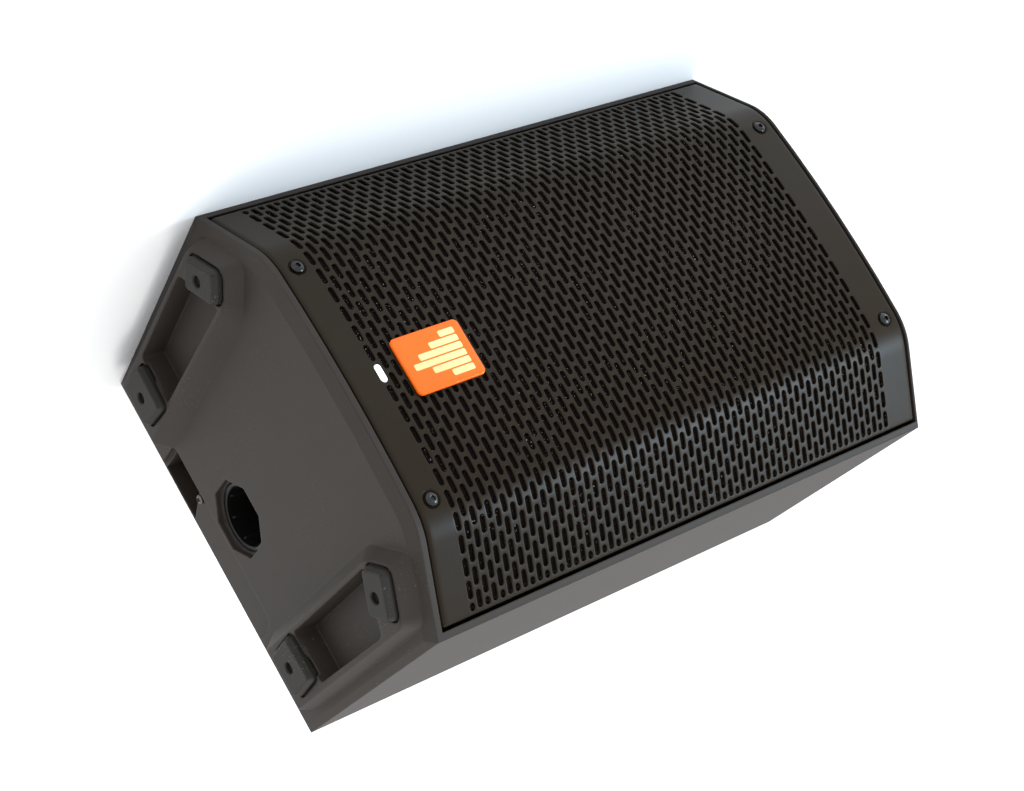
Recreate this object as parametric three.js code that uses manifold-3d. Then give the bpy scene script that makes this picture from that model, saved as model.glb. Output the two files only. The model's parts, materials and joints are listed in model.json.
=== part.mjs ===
// Powered two-way stage monitor: a moulded loudspeaker that lies on one side wall as a floor
// monitor, or stands on its feet or a pole. Millimetres.
//
// The pieces are drawn in the cabinet's own frame, as it stands upright:
//   x across the front, y out of the front, z up from the lower end.
// The last section lays the cabinet on its side wall, front facing -Y and lower end at +X.

import * as THREE from "three";
import { ConvexGeometry } from "three/addons/geometries/ConvexGeometry.js";
import { mergeVertices } from "three/addons/utils/BufferGeometryUtils.js";
import Module from "manifold-3d";

// ---------- driving dimensions ----------

const GAP = 0.3; // clearance between pieces that touch
const HEIGHT = 400; // lower end to upper end
const FRONT_HALF = 140; // half width at the front corners
const REAR_HALF = 124.5; // half width at the rear wall
const SIDE_DEPTH = 176.4; // front corner to rear wall
const FACET_HALF = 86.7; // half width of the middle facet of the front
const FACET_RISE = 38.5; // how far the middle facet stands forward of the corners
const CROWN = 4.5; // how far the middle facet bulges
const BEND = 12; // run of the rounding at each bend of the front
const WALL = 4; // cabinet wall
const REAR_CORNER = 6; // rounding of the two rear corners

const END_RISE = 2.5; // the end panel stands this far out of the rim
const RIM_BAND = 9.5; // sloping band between rim and end panel, at the front
const SIDE_BAND = 5; // the same along the side walls

const PAD_TOP = -13.3; // level of the two pads on the lower end
const FOOT_TOP = -18.3; // level that the rubber feet stand on
const POCKET_FLOOR = 1.5; // bottom of the pocket in each pad
const BEVEL_REAR = -171; // rear bevel of the lower end: y at z = 0
const BEVEL_SLOPE = 1.88; // and how far it runs forward per millimetre down

const POLE_Y = -119.5; // axis of the pole socket
const OCTAGON_FLATS = 45.5; // recess round the socket, across flats
const SOCKET_RADIUS = 18.8; // takes a 35 mm pole
const SOCKET_DEPTH = 87;
const SOCKET_RIM = 1.8; // level of the socket's rim

const SHEET = 1.2; // grille steel
const GRILLE_END = 5.2; // the grille stops this far from each end
const GRILLE_FLANGE = 9;
const GRILLE_SCREW_X = 75.3;
const GRILLE_SCREW_Z = 16.1; // from each end
const LIGHT_Z = 26.4; // power light
const BADGE = { x: -2.5, z: 63.8, width: 36.4, height: 47.4, thickness: 2.2 };

const BAFFLE_FRONT = 2; // front board that carries the drivers
const BAFFLE_REAR = -8;
const BAFFLE_HALF = 131;
const WOOFER_Z = 138;
const WOOFER_RADIUS = 102.5; // eight inch frame
const WOOFER_SCREW_CIRCLE = 98.6;
const CUTOUT_RADIUS = 92;
const HORN_Z = 312;
const PORT_X = 104.5;
const PORT_RADIUS = 16;

const PANEL = { halfWidth: 81, low: 131, high: 343 }; // rear panel, in its recess
const RECESS_MARGIN = 3;
const RECESS_FLOOR = -162.4;
const PANEL_OUT = RECESS_FLOOR - GAP - 2; // outer face of the rear panel
const KNOB_X = [-54, -18, 18, 54];
const KNOB_Z = 314;
const SOCKET_X = [-24, 24];
const SOCKET_Z = 264;
const BUTTON_Z = 290;
const SWITCH = { x: -38, z: 153 };
const INLET = { x: 24, z: 153 };

const HANDLE = { y: -100, halfLength: 75.5, halfWidth: 11.5 };
const ROCKER_TILT = 9; // degrees each way from level

// ---------- solids ----------

const wasm = await Module();
wasm.setup();

const v2 = (x, y) => new THREE.Vector2(x, y);

// A closed three.js geometry as a manifold-3d solid, turned to face outwards.
function solid(geometry) {
  const bare = geometry.index ? geometry.toNonIndexed() : geometry.clone();
  bare.deleteAttribute("normal");
  bare.deleteAttribute("uv");
  const merged = mergeVertices(bare, 1e-3);
  const at = merged.attributes.position;
  const corner = [0, 1, 2].map(() => new THREE.Vector3());
  const triangles = [];
  let volume = 0;
  for (let i = 0; i < merged.index.count; i += 3) {
    const t = [0, 1, 2].map((k) => merged.index.getX(i + k));
    if (t[0] === t[1] || t[1] === t[2] || t[2] === t[0]) continue;
    t.forEach((index, k) => corner[k].fromBufferAttribute(at, index));
    volume += corner[0].dot(corner[1].cross(corner[2]));
    triangles.push(t);
  }
  if (volume < 0) triangles.forEach((t) => t.reverse());
  return new wasm.Manifold(
    new wasm.Mesh({
      numProp: 3,
      vertProperties: at.array,
      triVerts: new Uint32Array(triangles.flat()),
    }),
  );
}

function geometryOf(shape) {
  const mesh = shape.getMesh();
  const geometry = new THREE.BufferGeometry();
  geometry.setAttribute("position", new THREE.BufferAttribute(mesh.vertProperties, 3));
  geometry.setIndex(new THREE.BufferAttribute(mesh.triVerts, 1));
  return geometry;
}

const joined = (solids) => solids.reduce((a, b) => a.add(b));
const cutFrom = (body, tools) => tools.reduce((a, b) => a.subtract(b), body);

// An outline in x and y, carried from one z to another.
function prismZ(points, low, high, options = {}) {
  const geometry = new THREE.ExtrudeGeometry(new THREE.Shape(points), {
    depth: high - low,
    bevelEnabled: false,
    ...options,
  });
  return geometry.translate(0, 0, low);
}

// An outline in x and z, carried from one y to another.
const prismY = (points, low, high, options) =>
  prismZ(points, -high, -low, options).rotateX(Math.PI / 2);

// An outline in y and z, carried from one x to another.
function prismX(points, low, high) {
  const turn = new THREE.Matrix4().makeBasis(
    new THREE.Vector3(0, 1, 0),
    new THREE.Vector3(0, 0, 1),
    new THREE.Vector3(1, 0, 0),
  );
  return prismZ(points, low, high).applyMatrix4(turn);
}

// A profile of [radius, y] pairs, turned about an axis along y.
const latheY = (profile, sides = 32) =>
  new THREE.LatheGeometry(profile.map(([r, y]) => v2(r, y)), sides);

// The same about an axis along z, from [radius, z] pairs.
const latheZ = (profile, sides) => latheY(profile, sides).rotateX(Math.PI / 2);

const closed = (profile) => [...profile, profile[0]];

const rodY = (radius, low, high, sides = 12) =>
  latheY([[0, low], [radius, low], [radius, high], [0, high]], sides);
const rodZ = (radius, low, high, sides = 12) =>
  latheZ([[0, low], [radius, low], [radius, high], [0, high]], sides);

const block = (x0, x1, y0, y1, z0, z1) =>
  new THREE.BoxGeometry(x1 - x0, y1 - y0, z1 - z0).translate(
    (x0 + x1) / 2,
    (y0 + y1) / 2,
    (z0 + z1) / 2,
  );

// The convex body that spans several outlines, each at its own z.
const hullZ = (...levels) =>
  new ConvexGeometry(
    levels.flatMap(([points, z]) => points.map((p) => new THREE.Vector3(p.x, p.y, z))),
  );

// The same for outlines in x and z, each at its own y.
const hullY = (...levels) =>
  new ConvexGeometry(
    levels.flatMap(([points, y]) => points.map((p) => new THREE.Vector3(p.x, y, p.y))),
  );

// A convex outline with each edge moved inwards by its own distance.
function inset(points, distance) {
  const size = points.length;
  const centre = points.reduce((sum, p) => sum.clone().add(p), v2(0, 0)).divideScalar(size);
  const edges = points.map((p, i) => {
    const along = points[(i + 1) % size].clone().sub(p).normalize();
    const normal = v2(-along.y, along.x);
    if (normal.dot(centre.clone().sub(p)) < 0) normal.negate();
    const shift = typeof distance === "function" ? distance(p, points[(i + 1) % size]) : distance;
    return { point: p.clone().addScaledVector(normal, shift), along };
  });
  return edges.map((edge, i) => {
    const before = edges[(i + size - 1) % size];
    const across = before.along.cross(edge.along);
    const reach = edge.point.clone().sub(before.point).cross(edge.along) / across;
    return before.point.clone().addScaledVector(before.along, reach);
  });
}

function roundedBox(width, height, radius, x = 0, y = 0, steps = 3) {
  const shape = new THREE.Shape();
  const [w, h] = [width / 2 - radius, height / 2 - radius];
  shape.absarc(x + w, y + h, radius, 0, Math.PI / 2);
  shape.absarc(x - w, y + h, radius, Math.PI / 2, Math.PI);
  shape.absarc(x - w, y - h, radius, Math.PI, Math.PI * 1.5);
  shape.absarc(x + w, y - h, radius, Math.PI * 1.5, Math.PI * 2);
  return distinct(shape.getPoints(steps));
}

function ringOf(radius, sides, x = 0, y = 0, turn = 0) {
  return Array.from({ length: sides }, (_, i) => {
    const angle = turn + (i / sides) * Math.PI * 2;
    return v2(x + radius * Math.cos(angle), y + radius * Math.sin(angle));
  });
}

const mirrored = (points) => points.map((p) => v2(-p.x, p.y));

// An outline with its corners rounded, each starting at a distance from the corner.
function softened(points, distance, steps = 3) {
  const shape = new THREE.Shape();
  points.forEach((corner, i) => {
    const before = points[(i + points.length - 1) % points.length];
    const after = points[(i + 1) % points.length];
    const start = corner.clone().add(before.clone().sub(corner).setLength(distance));
    const end = corner.clone().add(after.clone().sub(corner).setLength(distance));
    if (i === 0) shape.moveTo(start.x, start.y);
    else shape.lineTo(start.x, start.y);
    shape.quadraticCurveTo(corner.x, corner.y, end.x, end.y);
  });
  return distinct(shape.getPoints(steps));
}

// Points without repeats, the last against the first included.
const distinct = (points) =>
  points.filter((p, i) => p.distanceTo(points[(i + 1) % points.length]) > 1e-3);

// ---------- finishes ----------

const finish = (color, roughness, metalness = 0) => ({ color, roughness, metalness });
const MOULDED = finish(0x1b1a19, 0.62);
const STEEL_BLACK = finish(0x141414, 0.42, 0.3);
const RUBBER = finish(0x151515, 0.85);
const FOAM = finish(0x0b0b0b, 1);
const ZINC = finish(0x8f9092, 0.35, 1);
const BLACK_SCREW = finish(0x1a1a1a, 0.35, 0.8);
const BADGE_ORANGE = finish(0xf26410, 0.25);
const LIGHT_PIPE = finish(0xf4f6ff, 0.3);
const PAPER = finish(0x101010, 0.9);
const CLOTH = finish(0x9a7a3c, 0.9);
const FERRITE = finish(0x2c2c2e, 0.7);
const PANEL_PAINT = finish(0x1c1d1f, 0.55, 0.2);
const ALUMINIUM = finish(0x3a3b3d, 0.45, 0.8);
const BOARD = finish(0x12452a, 0.5);
const GLOSSY = finish(0x0f0f10, 0.3);
const COPPER_RED = finish(0x8c1f18, 0.5);

const cabinetFrame = new THREE.Group();

// Adds one named piece to the cabinet, in the cabinet's frame, from a geometry or a solid.
function piece(name, shape, look, place = [0, 0, 0]) {
  const geometry = geometryOf(shape.isBufferGeometry ? solid(shape) : shape);
  const mesh = new THREE.Mesh(geometry, new THREE.MeshStandardMaterial(look));
  mesh.name = name;
  mesh.position.set(...place);
  cabinetFrame.add(mesh);
}

// ---------- the cabinet's outline ----------

const taper = (FRONT_HALF - REAR_HALF) / SIDE_DEPTH;
const sideHalf = (y) => FRONT_HALF + taper * y;
const facetSlope = (FRONT_HALF - FACET_HALF) / FACET_RISE;

// Half of the front: corner, side facet, rounded bend, then the crowned middle facet.
function caseOutline() {
  const shape = new THREE.Shape();
  const bendIn = v2(FACET_HALF + BEND * 0.81, FACET_RISE - BEND * 0.586);
  const bendOut = v2(FACET_HALF - BEND, FACET_RISE + CROWN * 0.3);
  shape.moveTo(REAR_HALF - REAR_CORNER, -SIDE_DEPTH);
  shape.quadraticCurveTo(
    REAR_HALF,
    -SIDE_DEPTH,
    sideHalf(-SIDE_DEPTH + REAR_CORNER),
    -SIDE_DEPTH + REAR_CORNER,
  );
  shape.lineTo(FRONT_HALF, 0);
  shape.lineTo(bendIn.x, bendIn.y);
  shape.quadraticCurveTo(FACET_HALF, FACET_RISE, bendOut.x, bendOut.y);
  shape.quadraticCurveTo(0, FACET_RISE + CROWN * 1.7, -bendOut.x, bendOut.y);
  shape.quadraticCurveTo(-FACET_HALF, FACET_RISE, -bendIn.x, bendIn.y);
  shape.lineTo(-FRONT_HALF, 0);
  shape.lineTo(-sideHalf(-SIDE_DEPTH + REAR_CORNER), -SIDE_DEPTH + REAR_CORNER);
  shape.quadraticCurveTo(-REAR_HALF, -SIDE_DEPTH, -REAR_HALF + REAR_CORNER, -SIDE_DEPTH);
  return distinct(shape.getPoints(6));
}

const outline = caseOutline();

// The space between the side walls, less a margin, in front of a given y.
function betweenWalls(margin, rear) {
  const ahead = FACET_RISE + 20;
  const half = (y) => sideHalf(y) - WALL - margin;
  return [v2(half(rear), rear), v2(half(ahead), ahead), v2(-half(ahead), ahead), v2(-half(rear), rear)];
}

// Sloping band around an end: wide along the front, narrow along the sides and rear.
const bandWidth = (a, b) => (a.y + b.y > 0 ? RIM_BAND : SIDE_BAND);

// ---------- the lower end: pads, feet, pole socket ----------

// One pad's top, then the widening of each edge from there down to the end panel.
const PAD = [v2(96, 17.5), v2(124.6, -3), v2(113.6, -152), v2(72.4, -152), v2(81, -3.5)];
const PAD_SPREAD = [-4.5, -4, 0, -8, -5];
const PAD_CORNER = 5; // rounding of a pad's corners
const PAD_EDGE = 1.8; // rounding of its top edge
const POCKET = [v2(84.5, -6), v2(119.5, -25.5), v2(112.2, -108), v2(79, -108)];

const spread = (points, widths) => inset(points, (p) => widths[points.indexOf(p)]);

// A rectangle turned by an angle, as an outline.
const tilted = (x, y, halfLength, halfWidth, angle) =>
  [[1, 1], [-1, 1], [-1, -1], [1, -1]].map(([i, j]) =>
    v2(i * halfLength, j * halfWidth).rotateAround(v2(0, 0), angle).add(v2(x, y)),
  );

const FEET = [
  { outline: tilted(102, -2.6, 13.6, 9.3, -0.625), screw: v2(103, -4) },
  { outline: tilted(94, -123.5, 14, 12.6, 0.05), screw: v2(93.6, -124) },
];
const FOOT_SEAT = PAD_TOP + 2.3;
const FOOT_CORNER = 3;
const allFeet = [1, -1].flatMap((side) =>
  FEET.map(({ outline: shape, screw }) => ({
    outline: softened(side > 0 ? shape : mirrored(shape), FOOT_CORNER),
    screw: v2(side * screw.x, screw.y),
  })),
);

const bevelY = (z) => BEVEL_REAR - BEVEL_SLOPE * z;
const rearBevel = [
  v2(bevelY(-30), -30),
  v2(bevelY(12), 12),
  v2(-SIDE_DEPTH - 60, 12),
  v2(-SIDE_DEPTH - 60, -30),
];

// The shallow notch along the rear edge, with the deep well at one end of it.
const NOTCH = { left: 66, right: -62, front: -145, floor: 1.2 };
const WELL = [v2(63.5, -147.5), v2(36, -147.5), v2(26, -172), v2(63.5, -172)];
const WELL_FLOOR = 19;
const TAB_SCREW = { x: 30.5, y: -153.5 };

function notchOutline() {
  const shape = new THREE.Shape();
  const behind = -SIDE_DEPTH - 20;
  shape.moveTo(NOTCH.left, behind);
  shape.lineTo(NOTCH.left, NOTCH.front - 5);
  shape.quadraticCurveTo(NOTCH.left, NOTCH.front, NOTCH.left - 5, NOTCH.front);
  shape.lineTo(NOTCH.right + 9, NOTCH.front);
  shape.quadraticCurveTo(NOTCH.right, NOTCH.front, NOTCH.right, NOTCH.front - 16);
  shape.lineTo(NOTCH.right, behind);
  return distinct(shape.getPoints(4));
}

const octagon = ringOf(
  OCTAGON_FLATS / 2 / Math.cos(Math.PI / 8),
  8,
  0,
  POLE_Y,
  Math.PI / 8,
);

// ---------- cabinet ----------

const panelMiddle = (PANEL.low + PANEL.high) / 2;
const panelHeight = PANEL.high - PANEL.low;
const recess = roundedBox(
  2 * (PANEL.halfWidth + RECESS_MARGIN),
  panelHeight + 2 * RECESS_MARGIN,
  9,
  0,
  panelMiddle,
);
const panelScrews = [1, -1].flatMap((side) =>
  [PANEL.low + 5, PANEL.high - 5].map((z) => [side * (PANEL.halfWidth - 5), z]),
);
// Recess for the hand, and the seats of the handle's two ends.
const GRIP = { halfLength: 62, front: -66, rear: -134, floor: 360 };
const GRIP_SEAT = 391;

function cabinet() {
  const top = HEIGHT - END_RISE;
  const body = solid(
    hullZ(
      [inset(outline, bandWidth), -END_RISE],
      [outline, 0],
      [outline, top],
      [inset(outline, bandWidth), HEIGHT],
    ),
  );
  const pads = [PAD, mirrored(PAD)].map((pad) => {
    const rim = softened(pad, PAD_CORNER);
    const foot = softened(spread(pad, PAD_SPREAD), PAD_CORNER + 2);
    return solid(
      hullZ(
        [inset(rim, PAD_EDGE), PAD_TOP],
        [inset(rim, PAD_EDGE * 0.3), PAD_TOP + PAD_EDGE * 0.3],
        [rim, PAD_TOP + PAD_EDGE],
        [foot, -END_RISE],
        [foot, 0],
      ),
    );
  });
  const inside = solid(
    prismZ(betweenWalls(0, -SIDE_DEPTH + WALL), WALL, HEIGHT - WALL),
  );
  const shell = joined([body, ...pads]).subtract(inside);

  // Inner walls of the rear recess, the handle recess and the well.
  const lining = joined([
    solid(prismY(inset(recess, -WALL), -SIDE_DEPTH + 1, RECESS_FLOOR + WALL)),
    solid(
      block(
        -GRIP.halfLength - WALL,
        GRIP.halfLength + WALL,
        GRIP.rear - WALL,
        GRIP.front + WALL,
        GRIP.floor - 3,
        HEIGHT - 2,
      ),
    ),
    solid(block(-HANDLE.halfLength - 3, HANDLE.halfLength + 3, -117, -83, GRIP_SEAT - 4, HEIGHT - 2)),
    solid(block(22, 66.5, -SIDE_DEPTH + 1, -144, 1, WELL_FLOOR + 2.5)),
  ]);

  const pockets = [POCKET, mirrored(POCKET)].map((pocket) => {
    const rim = softened(pocket, 3.5);
    return solid(hullZ([inset(rim, -0.4), PAD_TOP - 1], [inset(rim, 1.4), POCKET_FLOOR]));
  });
  const footSeats = allFeet.flatMap((foot) => [
    solid(prismZ(inset(foot.outline, -2.6), PAD_TOP - 1, FOOT_SEAT)),
    solid(rodZ(2.3, FOOT_SEAT - 1, 1, 12).translate(foot.screw.x, foot.screw.y, 0)),
  ]);
  const handleHollow = roundedBox(
    2 * GRIP.halfLength,
    GRIP.front - GRIP.rear,
    10,
    0,
    (GRIP.front + GRIP.rear) / 2,
  );
  const handleSeat = roundedBox(
    2 * (HANDLE.halfLength + 0.6),
    2 * (HANDLE.halfWidth + 0.6),
    3,
    0,
    HANDLE.y,
  );
  const window = roundedBox(2 * (PANEL.halfWidth - 9), panelHeight - 18, 4, 0, panelMiddle);

  return cutFrom(shell.add(lining), [
    ...pockets,
    ...footSeats,
    solid(prismZ(octagon, -END_RISE - 1, SOCKET_RIM - 0.2)),
    solid(rodZ(SOCKET_RADIUS + 3.2, -1, WALL + 1, 32).translate(0, POLE_Y, 0)),
    solid(prismZ(notchOutline(), -END_RISE - 1, NOTCH.floor)),
    solid(prismZ(WELL, -END_RISE - 1, WELL_FLOOR)),
    solid(rodZ(1.9, -1, 9, 12).translate(TAB_SCREW.x, TAB_SCREW.y, 0)),
    solid(prismX(rearBevel, -200, 200)),
    solid(prismY(recess, -SIDE_DEPTH - 5, RECESS_FLOOR)),
    solid(prismY(window, RECESS_FLOOR - 1, RECESS_FLOOR + WALL + 2)),
    ...panelScrews.map(([x, z]) =>
      solid(rodY(1.9, RECESS_FLOOR - 1, RECESS_FLOOR + WALL + 1, 8).translate(x, 0, z)),
    ),
    solid(prismZ(handleHollow, GRIP.floor, HEIGHT + 1)),
    solid(prismZ(handleSeat, GRIP_SEAT, HEIGHT + 1)),
  ]);
}

piece("cabinet", cabinet(), MOULDED);

// ---------- feet ----------

allFeet.forEach((foot, i) => {
  const body = solid(
    hullZ(
      [inset(foot.outline, -1.2), FOOT_SEAT - GAP],
      [inset(foot.outline, -1.2), PAD_TOP - 1.6],
      [inset(foot.outline, 0.4), FOOT_TOP],
    ),
  );
  const { x, y } = foot.screw;
  const bore = solid(rodZ(2.4, FOOT_TOP - 1, 0, 16).translate(x, y, 0));
  const counterbore = solid(rodZ(3.6, FOOT_TOP - 1, FOOT_TOP + 3.6, 20).translate(x, y, 0));
  piece(`foot_${i + 1}`, cutFrom(body, [bore, counterbore]), RUBBER);
  const head = FOOT_TOP + 3.3;
  const screw = latheZ(
    [[0, -1], [2, -1], [2, head], [3.2, head], [3.2, head - 1.2], [2.2, head - 2.2], [0, head - 2.2]],
    12,
  );
  piece(`foot_screw_${i + 1}`, screw, BLACK_SCREW, [x, y, 0]);
});

// ---------- pole socket ----------

function poleSocket() {
  const r = SOCKET_RADIUS;
  const cup = latheZ(
    [
      [0, SOCKET_DEPTH],
      [r, SOCKET_DEPTH],
      [r, SOCKET_RIM],
      [r + 2.9, SOCKET_RIM],
      [r + 2.9, WALL + GAP],
      [r + 11, WALL + GAP],
      [r + 11, WALL + 3],
      [r + 2.9, WALL + 3],
      [r + 2.9, SOCKET_DEPTH + 3],
      [0, SOCKET_DEPTH + 3],
    ],
    32,
  );
  const ribs = Array.from({ length: 8 }, (_, i) =>
    solid(
      block(r - 0.9, r + 0.6, -0.7, 0.7, SOCKET_RIM + 3, SOCKET_DEPTH + 1).rotateZ(
        ((i + 0.5) * Math.PI) / 4,
      ),
    ),
  );
  return joined([solid(cup), ...ribs]);
}

piece("pole_socket", poleSocket(), MOULDED, [0, POLE_Y, 0]);

const tabScrew = latheZ(
  [[0, 8], [1.6, 8], [1.6, 0.9], [3.1, 0.9], [3.1, -0.4], [2.2, -1.3], [0, -1.3]],
  12,
);
piece("rear_edge_screw", tabScrew, ZINC, [TAB_SCREW.x, TAB_SCREW.y, 0]);

// ---------- grille, foam, badge and light ----------

const screwPlaces = [1, -1].flatMap((side) =>
  [GRILLE_SCREW_Z, HEIGHT - GRILLE_SCREW_Z].map((z) => [side * GRILLE_SCREW_X, z]),
);
const atScrews = (radius, sides = 12) =>
  screwPlaces.map(([x, z]) => solid(rodY(radius, 0, 60, sides).translate(x, 0, z)));
const lightSlot = (margin) =>
  roundedBox(11.4 + 2 * margin, 4.2 + 2 * margin, 2.1 + margin, 0, LIGHT_Z);

// A layer that follows the front, from one depth below its surface to another.
function frontLayer(depth, thickness, margin, end, rear) {
  const walls = betweenWalls(margin, rear);
  const between = (distance, low, high) =>
    solid(prismZ(inset(outline, distance), low, high)).intersect(
      solid(prismZ(walls, low, high)),
    );
  const behind = inset(outline, (a, b) => (a.y + b.y > 0 ? depth + thickness : -20));
  return between(depth, end, HEIGHT - end).subtract(solid(prismZ(behind, 0, HEIGHT)));
}

function grille() {
  const margin = 1;
  const tray = frontLayer(0, GRILLE_FLANGE, margin, GRILLE_END, -5.5);
  const hollow = solid(
    prismZ(inset(outline, SHEET), GRILLE_END + SHEET, HEIGHT - GRILLE_END - SHEET),
  ).intersect(solid(prismZ(betweenWalls(margin + SHEET, -30), 0, HEIGHT)));
  const holes = [...atScrews(2), solid(prismY(lightSlot(0.4), 20, 60))];
  return cutFrom(tray.subtract(hollow), holes);
}

function grilleFoam() {
  const sheet = frontLayer(SHEET + GAP, 4, 2.6, GRILLE_END + SHEET + GAP, BAFFLE_FRONT + 0.6);
  return cutFrom(sheet, [...atScrews(6, 8), solid(prismY(lightSlot(1.5), 20, 60))]);
}

piece("grille", grille(), STEEL_BLACK);
piece("grille_foam", grilleFoam(), FOAM);

const GRILLE_AT_SCREW = 40.2; // just clear of the grille's surface there
const grilleScrew = latheY(
  [[0, -16], [1.6, -16], [1.6, 0], [3.8, 0], [3.6, 1.1], [2.5, 2], [0, 2.4]],
  14,
);
screwPlaces.forEach(([x, z], i) =>
  piece(`grille_screw_${i + 1}`, grilleScrew, BLACK_SCREW, [x, GRILLE_AT_SCREW, z]),
);

const badgeBack = FACET_RISE + CROWN + GAP;
const badgeFace = prismY(
  roundedBox(BADGE.width, BADGE.height, 4, BADGE.x, BADGE.z),
  badgeBack + 0.6,
  badgeBack + BADGE.thickness - 0.6,
  { bevelEnabled: true, bevelThickness: 0.6, bevelSize: 0.6, bevelOffset: -0.6, bevelSegments: 2 },
);
piece("badge", badgeFace, BADGE_ORANGE);
piece("power_light", prismY(lightSlot(0), BAFFLE_FRONT + GAP, FACET_RISE + CROWN), LIGHT_PIPE);

// ---------- baffle ----------

const hornMouth = roundedBox(146, 108, 12, 0, HORN_Z, 2);
const wooferScrews = [45, 135, 225, 315].map((degrees) => {
  const angle = THREE.MathUtils.degToRad(degrees);
  return [
    WOOFER_SCREW_CIRCLE * Math.cos(angle),
    WOOFER_Z + WOOFER_SCREW_CIRCLE * Math.sin(angle),
  ];
});

function baffle() {
  const half = BAFFLE_HALF;
  const end = GRILLE_END + SHEET + GAP;
  const sheet = [v2(half, end), v2(half, HEIGHT - end), v2(-half, HEIGHT - end), v2(-half, end)];
  const posts = screwPlaces.map(([x, z]) =>
    solid(rodY(4.6, BAFFLE_REAR + 1, 33, 10).translate(x, 0, z)),
  );
  const pilots = screwPlaces.map(([x, z]) => solid(rodY(1.9, 20, 40, 8).translate(x, 0, z)));
  return cutFrom(joined([solid(prismY(sheet, BAFFLE_REAR, BAFFLE_FRONT)), ...posts]), [
    ...pilots,
    solid(rodY(CUTOUT_RADIUS, -20, 20, 24).translate(0, 0, WOOFER_Z)),
    solid(prismY(inset(hornMouth, -3.2), -20, 20)),
    ...[1, -1].map((side) =>
      solid(rodY(PORT_RADIUS + 2.6, -20, 20, 20).translate(side * PORT_X, 0, HORN_Z)),
    ),
    ...wooferScrews.map(([x, z]) => solid(rodY(2.3, -20, 20, 8).translate(x, 0, z))),
  ]);
}

piece("front_baffle", baffle(), MOULDED);

// ---------- woofer ----------

const atWoofer = [0, 0, WOOFER_Z];

function basket() {
  const shell = solid(
    latheY(
      closed([
        [WOOFER_RADIUS, 6.4],
        [WOOFER_RADIUS, 2.4],
        [91.3, 2.4],
        [87.5, -18],
        [58, -48],
        [58, -56],
        [24, -56],
        [24, -53],
        [55, -53],
        [55.2, -47],
        [84.8, -16],
        [88.5, 6.4],
      ]),
      24,
    ),
  );
  const windows = Array.from({ length: 4 }, (_, i) =>
    solid(block(60, 100, -48, -20, -26, 26).rotateY((i * Math.PI) / 2)),
  );
  const holes = wooferScrews.map(([x, z]) =>
    solid(rodY(2.3, -5, 10, 8).translate(x, 0, z - WOOFER_Z)),
  );
  return cutFrom(shell, [...windows, ...holes]);
}

piece("woofer_basket", basket(), STEEL_BLACK, atWoofer);
const ring = (inner, outer, low, high, sides) =>
  latheY(closed([[inner, low], [outer, low], [outer, high], [inner, high]]), sides);
piece("woofer_top_plate", ring(20.2, 54, -62.3, -56.3, 28), ZINC, atWoofer);
piece("woofer_magnet", ring(25, 56, -80, -62.6, 28), FERRITE, atWoofer);
piece(
  "woofer_yoke",
  latheY([[0, -86.3], [52, -86.3], [52, -80.3], [17.5, -80.3], [17.5, -55], [0, -55]], 28),
  ZINC,
  atWoofer,
);
piece("voice_coil", ring(18.3, 19.3, -66, -29, 28), COPPER_RED, atWoofer);
piece(
  "woofer_cone",
  latheY(
    closed([[19.6, -37], [19.6, -33.5], [78.6, 4.2], [80, 4.2], [80, 3.2], [20.8, -37]]),
    24,
  ),
  PAPER,
  atWoofer,
);

// A dome that closes the middle of the cone.
function dome(radius, rim, rise, thickness) {
  const steps = 3;
  const arc = (r, h) =>
    Array.from({ length: steps + 1 }, (_, i) => {
      const angle = (i / steps) * (Math.PI / 2);
      return [r * Math.cos(angle), rim + h * Math.sin(angle)];
    });
  const inner = arc(radius - thickness, rise - thickness).reverse();
  return latheY(closed([...arc(radius, rise), ...inner]), 16);
}

piece("dust_cap", dome(31, -22.5, 12, 1), PAPER, atWoofer);

// The half roll that ties the cone's edge to the basket.
function surround() {
  const steps = 4;
  const roll = (radius) =>
    Array.from({ length: steps + 1 }, (_, i) => {
      const angle = Math.PI * (1 - i / steps);
      return [86 + radius * Math.cos(angle), 7.2 + radius * Math.sin(angle)];
    });
  return latheY(
    closed([[80.4, 4.6], ...roll(5.6), [94.6, 7.8], [94.6, 6.7], ...roll(4.6).reverse(), [81.2, 4.6]]),
    24,
  );
}

piece("woofer_surround", surround(), RUBBER, atWoofer);

// The corrugated disc that centres the coil.
function spider() {
  const waves = 4;
  const wave = (lift) =>
    Array.from({ length: waves + 1 }, (_, i) => [
      21.2 + (i / waves) * 34,
      -43 + (i % 2 ? 1.1 : -1.1) + lift,
    ]);
  return latheY(closed([...wave(0), ...wave(0.9).reverse()]), 24);
}

piece("woofer_spider", spider(), CLOTH, atWoofer);

const panScrew = latheY(
  [[0, -12], [1.8, -12], [1.8, 0], [3.6, 0], [3.6, 1.4], [2.4, 2.4], [0, 2.6]],
  8,
);
wooferScrews.forEach(([x, z], i) =>
  piece(`woofer_screw_${i + 1}`, panScrew, BLACK_SCREW, [x, 8.1, z]),
);

// ---------- horn and ports ----------

const THROAT = -58;

// The bell between mouth and throat, made of straight stages.
function flare(thickness) {
  const sections = [
    [inset(hornMouth, -thickness), 2.4],
    [roundedBox(104 + 2 * thickness, 74 + 2 * thickness, 14, 0, HORN_Z, 2), -14],
    [roundedBox(54 + 2 * thickness, 46 + 2 * thickness, 16, 0, HORN_Z, 2), -36],
    [ringOf(13 + thickness, 12, 0, HORN_Z), THROAT],
  ];
  return joined(
    sections.slice(1).map((section, i) => solid(hullY(sections[i], section))),
  );
}

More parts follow.
